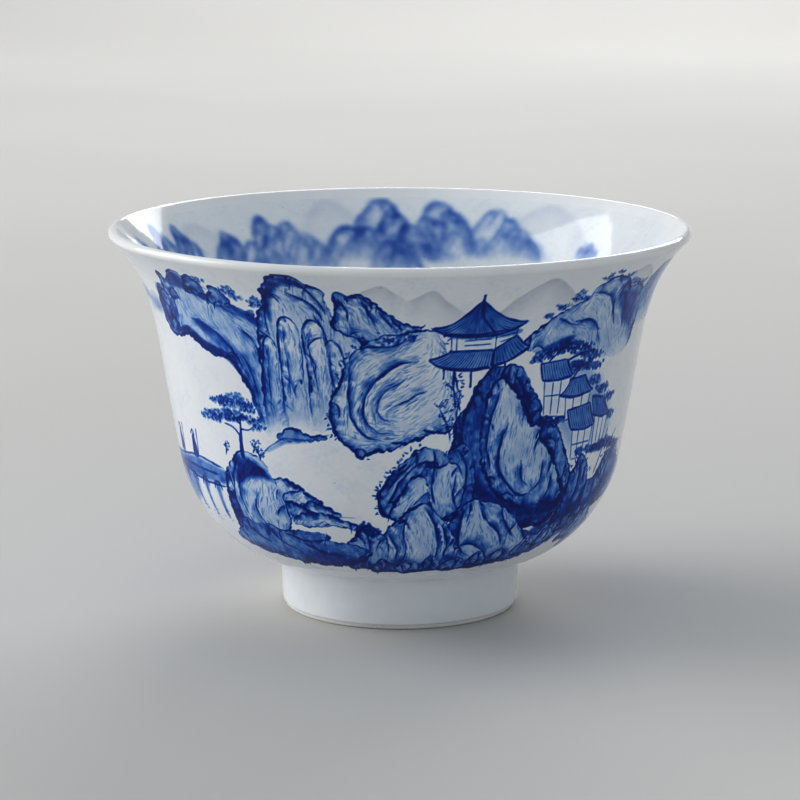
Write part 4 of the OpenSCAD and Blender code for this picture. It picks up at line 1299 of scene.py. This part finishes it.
# The village, and the bank that the bridge lands on.
crag(sheet, 226, 40, 7, 7.6, "peak", mist=(39.6, 5), tone=0.15)
leaves(sheet, [(224, 33.4, 2.2, 0.8), (229, 34.6, 2.4, 0.9), (235, 33.6, 2.4, 0.9), (240, 32.4, 2, 0.8),
               (245, 30.4, 2, 0.7)],
       0.95, ground=0.6)
for deg, z, half in ((226, 28.6, 3.2), (233, 29.6, 3.4), (240, 27.6, 3.2), (229.6, 24.6, 3.4),
                     (236.6, 24.2, 3.4)):
    house(sheet, deg, z, half, 3.6)
crag(sheet, 222, 15, 8, 9.6, "ledge", tone=0.4, moss=0.6)
crag(sheet, 236, 15, 9, 9.4, "dome", tone=0.16, reach=1.2, creases=0.2)
crag(sheet, 249, 15, 7, 11, "peak", tone=0.45, moss=0.6)
crag(sheet, 260, 15.6, 7, 9.6, "dome", tone=0.16, reach=1.2, creases=0.25, moss=0.6)
crag(sheet, 270, 16.6, 6, 8.4, "ledge", tone=0.4, moss=0.5)
pine(sheet, 259, 25, 5.4, 1, 1.1)
twigs(sheet, 267, 24.6, 2.6, 1, buds=8)
boat(sheet, 256, 38, 2.4, 2.4)
for near, step, high in ((0.4, 11, 2.8), (-1.2, 7.5, 1.8)):
    for deg in np.arange(63, 279, step):
        base = 13.2 + 1.4 * np.sin(np.radians(3 * deg)) + near
        crag(sheet, deg + hand.uniform(-1.5, 1.5), base, step * hand.uniform(0.55, 0.8),
             high * hand.uniform(0.7, 1.6), ("dome", "peak", "ledge")[hand.integers(3)], tone=0.25,
             edge=0.7, creases=0.3)


def softened(grid, reaches=(1,)):
    """The grid blurred: each cell takes half of itself and a quarter of each of the cells that lie a
    reach away, across and then up and down, once for each reach."""
    for reach in reaches:
        grid = (grid + (np.roll(grid, reach, 1) + np.roll(grid, -reach, 1)) / 2) / 2
        inner = (grid[reach:-reach] + (grid[2 * reach:] + grid[:-2 * reach]) / 2) / 2
        grid[reach:-reach] = inner
    return grid


def read_off(grid, runs, degrees):
    """A sheet's values at distances along the wall and degrees round the cup, blended between cells."""
    y = np.clip(runs / CELL - 0.5, 0, grid.shape[0] - 1.001)
    x = degrees * PER_DEGREE / CELL - 0.5
    i, j = np.floor(y).astype(int), np.floor(x).astype(int)
    f, g = (y - i)[:, None], (x - j)[None]
    j, k = j % COLS, (j + 1) % COLS
    top = grid[i + 1][:, j] * (1 - g) + grid[i + 1][:, k] * g
    low = grid[i][:, j] * (1 - g) + grid[i][:, k] * g
    return low * (1 - f) + top * f


def tint(red, green, blue):
    """A colour given out of 255 as a screen shows it, turned to linear light."""
    share = np.array([red, green, blue]) / 255
    return tuple(np.where(share < 0.04, share / 12.92, ((share + 0.055) / 1.055) ** 2.4).tolist())


def multiplied(nodes, one, other):
    """Two colours multiplied together, as clear layers one over the other."""
    node = nodes.new("ShaderNodeMix")
    node.data_type, node.blend_type = "RGBA", "MULTIPLY"
    node.inputs["Factor"].default_value = 1.0
    nodes.id_data.links.new(one, node.inputs["A"])
    nodes.id_data.links.new(other, node.inputs["B"])
    return node.outputs["Result"]


def brushed_in(nodes, key):
    """What the brush left at each point of the mesh, from 0 to 1."""
    node = nodes.new("ShaderNodeAttribute")
    node.attribute_name = key
    return node.outputs["Fac"]


def glaze(name, body, peel=1.0, cobalt=None, wash=None):
    """Clear, high-fired glaze over white clay: a faint cloudiness, pinholes and iron specks, an uneven
    skin like orange peel, and a gloss that varies a little. Cobalt is the ramp from bare clay to
    full ink, read from the brushed attribute, and wash the colour that far hills are tinted with."""
    material, nodes, links, shader = new_material(name)
    set_values(shader, IOR=1.5, Specular_IOR_Level=0.4)
    cloud = noise(nodes, 55, 3)
    fine = noise(nodes, 420, 2)
    speck = noise(nodes, 900, 0)
    pale = ramp(nodes, sum_of(nodes, 0.0, (cloud, 0.7), (fine, 0.3)),
                [(0.34, tuple(0.955 * c for c in body)), (0.5, body),
                 (0.66, tuple(min(1, 1.02 * c) for c in body))])
    colour = multiplied(nodes, pale, ramp(nodes, speck, [(0.86, 1.0), (0.9, (0.85, 0.82, 0.78))]))
    if cobalt:
        far_wash = ramp(nodes, brushed_in(nodes, "haze"), [(0.0, (1, 1, 1)), (1.0, wash)])
        pooled = sum_of(nodes, -0.09, (brushed_in(nodes, "cobalt"), 1.0), (noise(nodes, 260, 3), 0.1),
                        (noise(nodes, 1500, 2), 0.08))
        colour = multiplied(nodes, multiplied(nodes, colour, far_wash), ramp(nodes, pooled, cobalt))
    links.new(colour, shader.inputs["Base Color"])
    links.new(sum_of(nodes, 0.03, (cloud, 0.08), (fine, 0.05)), shader.inputs["Roughness"])
    skin_height = sum_of(nodes, 0.0, (noise(nodes, 160, 1), 1.0), (noise(nodes, 620, 1), 0.18))
    links.new(bump(nodes, skin_height, 0.00006 * peel), shader.inputs["Normal"])
    return material


WHITE = tint(236, 239, 243)
INK = [(0.0, (1, 1, 1)), (0.12, tint(204, 222, 244)), (0.3, tint(136, 175, 226)), (0.5, tint(64, 128, 206)),
       (0.7, tint(10, 80, 180)), (0.85, tint(0, 54, 150)), (1.0, tint(0, 34, 114))]
wall_glaze = glaze("clear_glaze_over_painting", WHITE, cobalt=INK, wash=tint(172, 180, 198))

CRISP = 1.0   # how much of the difference from a blurred copy is added back to the brushwork
paint_from, paint_to, band_from = np.interp([PAINT_LOW, PAINT_HIGH, CUP_H - LIP_BAND], skin[:, 1], skin_run)
painted_rows = np.linspace(paint_from, paint_to, int((paint_to - paint_from) / ROW_STEP))
wall_runs = np.r_[np.linspace(0, paint_from, 6)[:-1], painted_rows, np.linspace(paint_to, band_from, 4)[1:]]
wall_line, wall_facing = shell(at_run(skin_run, skin, wall_runs), at_run(skin_run, outward, wall_runs),
                               every=12)
brushed = {"cobalt": softened(outer_sheet.ink), "haze": softened(outer_sheet.haze)}
brushed["cobalt"] += CRISP * (brushed["cobalt"] - softened(brushed["cobalt"], (2,)))
wide = 360 / PANELS
for panel in range(PANELS):
    start = (panel - PANELS / 2) * wide - wide / 2
    turn = np.linspace(start, start + wide, PANEL_COLUMNS)
    layers = {key: read_off(grid, wall_runs, turn) for key, grid in brushed.items()}
    piece = turned(f"painted_wall_{panel}", wall_line, wall_facing, PANEL_COLUMNS, start, start + wide,
                   paint=layers)
    piece.data.materials.append(wall_glaze)
    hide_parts("outer_painting", "outer_glaze")

# ---------------------------------------------------------------- Inside: paler painting and glaze
# Inside, a band of far mountains is washed in thinner cobalt under the mouth, and the clear glaze is
# swirled over it and down across the floor. The wall thins from the foot towards the lip.
WALL_T, BASE_T = 2.1, 4.0
FLOOR_DIP = 0.9
FLOOR_PULL = 0.4, 0.4
INNER_BAND = 22.0
INNER_COLUMNS = 561
INNER_STEP = 0.2

thick = np.where(station < 1, BASE_T + (WALL_T - BASE_T) * on_belly ** 2 * (3 - 2 * on_belly),
                 WALL_T + (LIP_T - WALL_T) * on_flare ** 2 * (3 - 2 * on_flare))[:, None]
lining = skin - thick * outward
lining_run = np.r_[0, np.cumsum(np.hypot(*np.diff(lining, axis=0).T))]
middle = np.array([0.0, lining[0, 1] - FLOOR_DIP])
floor_curve = cubic(swept(middle, 0, lining[0], BASE_SLOPE, FLOOR_PULL), np.linspace(1, 0, 400))
inside = np.vstack([lining[::-1], floor_curve[1:]])
inside_facing = facing_of(inside)
inside[-1, 0], inside_facing[-1] = 0, (0, 1)
inside_run = np.r_[0, np.cumsum(np.hypot(*np.diff(inside, axis=0).T))]
lip_end, band_end = np.interp([CUP_H - LIP_BAND, CUP_H - INNER_BAND], lining[:, 1],
                              lining_run[-1] - lining_run)
inner_sheet = Sheet(lining[:, 1], lining_run)
sheet = inner_sheet


MIST_OVER = 4.0   # a mountain comes out of the mist within this height, mm


def mountain(sheet, deg, top, left, right, drop, depth, folds):
    """A mountain in thin wet washes: rounded folds, one before another, from its peak out and down to
    both sides. Each hides a part of the last, is darkest along its crest and thins out below it, and
    has soft streaks down its slopes."""
    top -= 0.5
    foot = sheet.place([(deg, top - 1.05 * drop)])[0, 1]
    side = np.r_[0.0, 0.3, hand.uniform(-1, 1, 3 * folds)]
    down = 0.55 * np.abs(side) ** 1.2 + np.r_[0.0, 0.1, hand.uniform(0.05, 0.5, 3 * folds)]
    for k in np.argsort(down):
        half = left if side[k] < 0 else right
        wide = 0.5 * (left + right) * (hand.uniform(0.4, 0.75) if k else 0.75)
        high = drop * (1.1 - down[k]) * hand.uniform(0.6, 1)
        lean = 0.5 * side[k] + hand.normal(0, 0.12)
        crest = [(deg + side[k] * half + wide * (a + lean * b * b), top - drop * down[k] + high * b)
                 for a, b in ((-1, -1), (-0.76, -0.6), (-0.42, -0.2), (-0.16, -0.01), (0.14, -0.01),
                              (0.42, -0.22), (0.76, -0.6), (1, -1))]
        line = shaky(shaky(line_through(sheet.place(crest)), 0.4, length=14), 0.2, length=5)
        patch = Patch(sheet, np.vstack([line, line - [0, 2]]), 1.5)
        rise = np.clip((patch.y - foot) / MIST_OVER, 0, 1)[:, None]
        patch.wipe(patch.inside(np.vstack([line, [line[-1, 0], line[0, 1]]])), 0.8 * rise * rise)
        patch.keep = np.repeat(rise, patch.shape[1], 1).astype(np.float32)
        t = np.linspace(0, 1, len(line))
        strong = np.sin(np.pi * t) ** 1.6 * (0.75 + 0.35 * drift(len(line), 12))
        pull = np.clip(1 + 0.8 * drift(len(line), 9), 0.3, 2)
        d, strong, pull, across = patch.near(line, np.column_stack([strong, pull]), normals_of(line))
        reach = np.where(across > 0, 0.22, (0.7 + 0.8 * patch.mottle) * pull)
        dark = depth * (1.15 - 0.5 * down[k])
        patch.lay(dark * strong * np.exp(-(d / reach) ** 1.2) * (0.55 + 0.7 * patch.mottle))
        below = np.interp(patch.x, line[:, 0], line[:, 1], left=-99, right=-99)[None] - patch.y[:, None]
        fade = np.exp(-np.clip(below, 0, 40) / 4)
        patch.lay(0.24 * dark * (below > 0) * fade * (0.2 + 1.2 * patch.mottle))
        n = int(4 + 1.2 * wide)
        i = hand.integers(4, len(line) - 4, n)
        way = np.where(i < len(line) / 2, np.radians(-116), np.radians(-60))
        patch.hairs(line[i, 0], line[i, 1] - hand.uniform(0, 1, n), way + hand.normal(0, 0.15, n),
                    hand.uniform(1, 4, n), hand.uniform(0.15, 0.6, n), dark * hand.uniform(0.1, 0.55, n),
                    hand.normal(0, 0.2, n))
        patch.done()


# Far pale hills first, then the washed range, then what stands before it, all the way round.
for crest in ([(-26, 49), (-22, 53.4), (-18, 55.2), (-13, 54), (-9, 51)],
              [(26, 50), (32, 54), (38, 55), (45, 53.4), (52, 50)],
              [(-66, 50), (-60, 53), (-54, 53.4), (-46, 50)],
              [(92, 49), (100, 53), (108, 54.6), (116, 53), (124, 49)],
              [(150, 49), (158, 53.6), (166, 54.6), (174, 52), (182, 49)],
              [(-120, 49), (-112, 53.4), (-104, 54.4), (-96, 51)]):
    far_hill(sheet, crest, 6, 0.42)
for deg, top, left, right, drop, depth, folds in (
        (-84, 54.6, 5, 8, 6, 0.6, 2), (-72, 55.0, 5, 9, 8, 0.62, 2), (-63, 54.2, 4, 8, 8, 0.66, 2),
        (-47, 52.2, 7, 8, 6, 0.66, 3), (-35.2, 54.0, 6, 9, 8, 0.7, 3), (-28.5, 52.6, 6, 12, 8, 0.55, 3),
        (23.5, 54.3, 7, 12, 7, 0.55, 3), (9.0, 55.0, 7, 14, 8, 0.68, 4), (-4.9, 55.3, 13, 15, 9, 0.78, 5),
        (-1.5, 50.0, 7, 9, 6, 0.6, 3), (-40, 50.0, 6, 8, 5, 0.6, 2),
        (88, 52.8, 9, 10, 6, 0.5, 3), (102, 54.2, 10, 11, 8, 0.62, 3), (-99, 53.6, 9, 9, 7, 0.55, 3),
        (118, 53.6, 9, 12, 8, 0.55, 3), (132, 55.0, 11, 13, 9, 0.72, 4), (145, 53.4, 8, 12, 7, 0.6, 3),
        (168, 54.0, 9, 11, 8, 0.62, 3), (184, 55.1, 12, 13, 9, 0.75, 4), (198, 53.0, 8, 12, 7, 0.58, 3),
        (222, 52.6, 8, 9, 6, 0.55, 3), (236, 54.8, 10, 12, 9, 0.7, 4), (250, 53.4, 8, 10, 7, 0.6, 3)):
    mountain(sheet, deg, top, left, right, drop, depth, folds)
# Low banks with trees, and water below them.
for deg, z, half in ((53, 48.4, 5), (70, 46.8, 7), (158, 44.4, 9), (209, 44.6, 10), (20, 41, 9),
                     (-20, 40, 8)):
    shade(sheet, [(deg - half, z - 0.3), (deg - half * 0.4, z + 0.5), (deg + half * 0.5, z + 0.4),
                  (deg + half, z - 0.2), (deg, z - 1)],
          0.35, 0.6)
    leaves(sheet, [(deg + half * x, z + 0.7 + y, half * 0.2, 0.5 + y)
                   for x, y in ((-0.5, 0.1), (-0.15, 0.5), (0.3, 0.2))],
           0.5, 0.45, 8, 0.35)
    water(sheet, deg, z - 1, half * 0.6, 10, 0.25, 3)

INNER_INK = [(0.0, (1, 1, 1)), (0.15, tint(210, 222, 242)), (0.35, tint(150, 178, 224)),
             (0.6, tint(86, 126, 200)), (0.8, tint(44, 88, 174)), (1.0, tint(22, 60, 146))]
inner_glaze = glaze("clear_glaze_inside", tint(238, 241, 243), cobalt=INNER_INK, wash=tint(178, 192, 218))
band_runs = np.linspace(lip_end, band_end, int((band_end - lip_end) / INNER_STEP))
line, facing = shell(at_run(inside_run, inside, band_runs), at_run(inside_run, inside_facing, band_runs),
                     every=12)
washed = {"cobalt": softened(inner_sheet.ink, (1, 2, 3, 4)), "haze": softened(inner_sheet.haze, (2, 4, 6))}
for half, start in (("left", -180.0), ("right", 0.0)):
    turn = np.linspace(start, start + 180, INNER_COLUMNS)
    layers = {key: read_off(grid, lining_run[-1] - band_runs, 180 - turn) for key, grid in washed.items()}
    piece = turned(f"inner_painting_{half}", line, facing, INNER_COLUMNS, start, start + 180, paint=layers)
    piece.data.materials.append(inner_glaze)
    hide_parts("inner_painting")

deep_runs = np.linspace(band_end, inside_run[-1], 110)
line, facing = shell(at_run(inside_run, inside, deep_runs), at_run(inside_run, inside_facing, deep_runs),
                     every=4)
floor_glaze = turned("inner_glaze_bowl", line, facing, 360)
floor_glaze.data.materials.append(glaze("clear_glaze_white", tint(237, 240, 243)))
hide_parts("inner_glaze")

# ---------------------------------------------------------------- Lip
# The rim is left unpainted and rounded over. The glaze runs thin there, so it is whiter and warmer
# than the wall, and it catches the light all the way round.
LIP_COLUMNS = 800
outer_lip = np.linspace(band_from, skin_run[-1], 14)[:-1]
inner_lip = np.linspace(0, lip_end, 14)[1:]
over = arc(lip_at, LIP_T / 2, LIP_SLOPE - 90, LIP_SLOPE + 90, 22)
lip_line = np.vstack([at_run(skin_run, skin, outer_lip), over, at_run(inside_run, inside, inner_lip)])
lip_facing = np.vstack([at_run(skin_run, outward, outer_lip), (over - lip_at) / (LIP_T / 2),
                        at_run(inside_run, inside_facing, inner_lip)])
lip = turned("lip_glaze_rim", *shell(lip_line, lip_facing), LIP_COLUMNS)
lip.data.materials.append(glaze("thin_glaze_on_lip", tint(241, 242, 242), 0.7))
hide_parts("lip_glaze")

# ---------------------------------------------------------------- Foot glaze
# The dipped glaze covers the foot outside and pools a little in the corner of the well under the
# cup. It is wiped off above the bearing edge, where it ends in a fine rounded bead.
bead_out, bead_in = foot_outside(BARE_H + GLAZE_T, GLAZE_T), foot_inside(BARE_H + GLAZE_T, GLAZE_T)
curl = arc(fillet_at, FILLET_R, 180 - FOOT_LEAN, 90 + BASE_SLOPE, 16)
bead = arc(bead_out, GLAZE_T, -90, -FOOT_LEAN, 9)
foot_face = np.vstack([bead, evenly(np.array([bead[-1], curl[0]]), count=30)[1:-1], curl])
facing = facing_of(foot_face)
facing[-1] = outward[0]
foot_glaze = glaze("clear_glaze_on_foot", tint(238, 241, 244), 1.3)
foot_skin = turned("foot_glaze_outside", *shell(foot_face, facing, slice(len(bead), None)), 360)
foot_skin.data.materials.append(foot_glaze)
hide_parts("foot_ring_glaze")

well_top = seat[1] - GLAZE_T
pool_at = foot_inside(well_top - POOL_R) - [POOL_R, 0]
pool = arc(pool_at, POOL_R, 90, 0, 20)
bead = arc(bead_in, GLAZE_T, 180 + WELL_LEAN, 270, 9)
ceiling = evenly(np.array([[0, well_top], pool[0]]), count=40)[:-1]
well_face = np.vstack([ceiling, pool, evenly(np.array([pool[-1], bead[0]]), count=30)[1:-1], bead])
well_skin = turned("foot_glaze_well", *shell(well_face, facing_of(well_face), slice(None, -len(bead))), 360)
well_skin.data.materials.append(foot_glaze)
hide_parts("foot_well_glaze")

# ---------------------------------------------------------------- Stage
# A plain pale floor that curves up behind the cup, a big soft window light from the left, a weaker
# one from behind and a little to the right, and pale light all round. Sizes are in metres.
FLOOR_WIDE, FLOOR_FRONT, FLOOR_BACK = 8.0, -4.0, 1.0
FLOOR_BEND, FLOOR_RISE = 0.5, 1.0
WINDOW_POWER, BACK_POWER, ROOM_LIGHT = 8.2, 5.0, 0.45
EYE_AT = 0, -0.4517, 0.1201
EYE_DOWN = 0.196   # how far the camera looks down, radians
EYE_LENS, EYE_SENSOR = 140.3, 36


def sweep_floor():
    """A floor that runs level, then turns up in a quarter circle, then stands upright."""
    turn = np.linspace(0, np.pi / 2, 24)
    profile = np.vstack([[FLOOR_FRONT, 0],
                         np.column_stack([FLOOR_BACK + FLOOR_BEND * np.sin(turn),
                                          FLOOR_BEND * (1 - np.cos(turn))]),
                         [FLOOR_BACK + FLOOR_BEND, FLOOR_BEND + FLOOR_RISE]])
    across = np.array([-FLOOR_WIDE / 2, FLOOR_WIDE / 2])
    points = [(x, y, z) for y, z in profile for x in across]
    faces = [(2 * k, 2 * k + 1, 2 * k + 3, 2 * k + 2) for k in range(len(profile) - 1)]
    mesh = bpy.data.meshes.new("floor")
    mesh.from_pydata(points, [], faces)
    mesh.shade_smooth()
    piece = bpy.data.objects.new("floor", mesh)
    bpy.context.scene.collection.objects.link(piece)
    return piece


floor = sweep_floor()
paper, nodes, links, shader = new_material("pale_floor")
set_values(shader, Roughness=0.85, Specular_IOR_Level=0.2)
links.new(ramp(nodes, noise(nodes, 3, 2), [(0.3, tint(204, 202, 199)), (0.7, tint(210, 208, 205))]),
          shader.inputs["Base Color"])
floor.data.materials.append(paper)


def soft_light(name, place, target, size, power, colour=(1, 1, 1)):
    """A flat light of a width and height in metres that faces a target."""
    lamp = bpy.data.lights.new(name, "AREA")
    lamp.shape = "RECTANGLE"
    lamp.size, lamp.size_y = size
    lamp.energy = power
    lamp.color = colour
    piece = bpy.data.objects.new(name, lamp)
    bpy.context.scene.collection.objects.link(piece)
    aim = Vector(target) - Vector(place)
    piece.location = place
    piece.rotation_euler = aim.to_track_quat("-Z", "Y").to_euler()


middle_of_cup = (0, 0, 0.03)
soft_light("window", (-1.15, 0.25, 0.5), middle_of_cup, (1.0, 1.0), WINDOW_POWER, (1.0, 0.99, 0.97))
soft_light("back_window", (0.35, 1.2, 0.7), middle_of_cup, (0.9, 0.6), BACK_POWER)

world = bpy.data.worlds.new("pale_room")
world.use_nodes = True
world.node_tree.nodes["Background"].inputs["Color"].default_value = (0.83, 0.88, 0.93, 1)
world.node_tree.nodes["Background"].inputs["Strength"].default_value = ROOM_LIGHT
scene = bpy.context.scene
scene.world = world
scene.view_settings.view_transform = "Standard"
scene.view_settings.look = "High Contrast"

eye = bpy.data.cameras.new("eye")
eye.sensor_width = EYE_SENSOR
eye.lens = EYE_LENS
eye_piece = bpy.data.objects.new("eye", eye)
eye_piece.location = EYE_AT
eye_piece.rotation_euler = (np.pi / 2 - EYE_DOWN, 0, 0)
scene.collection.objects.link(eye_piece)
scene.camera = eye_piece
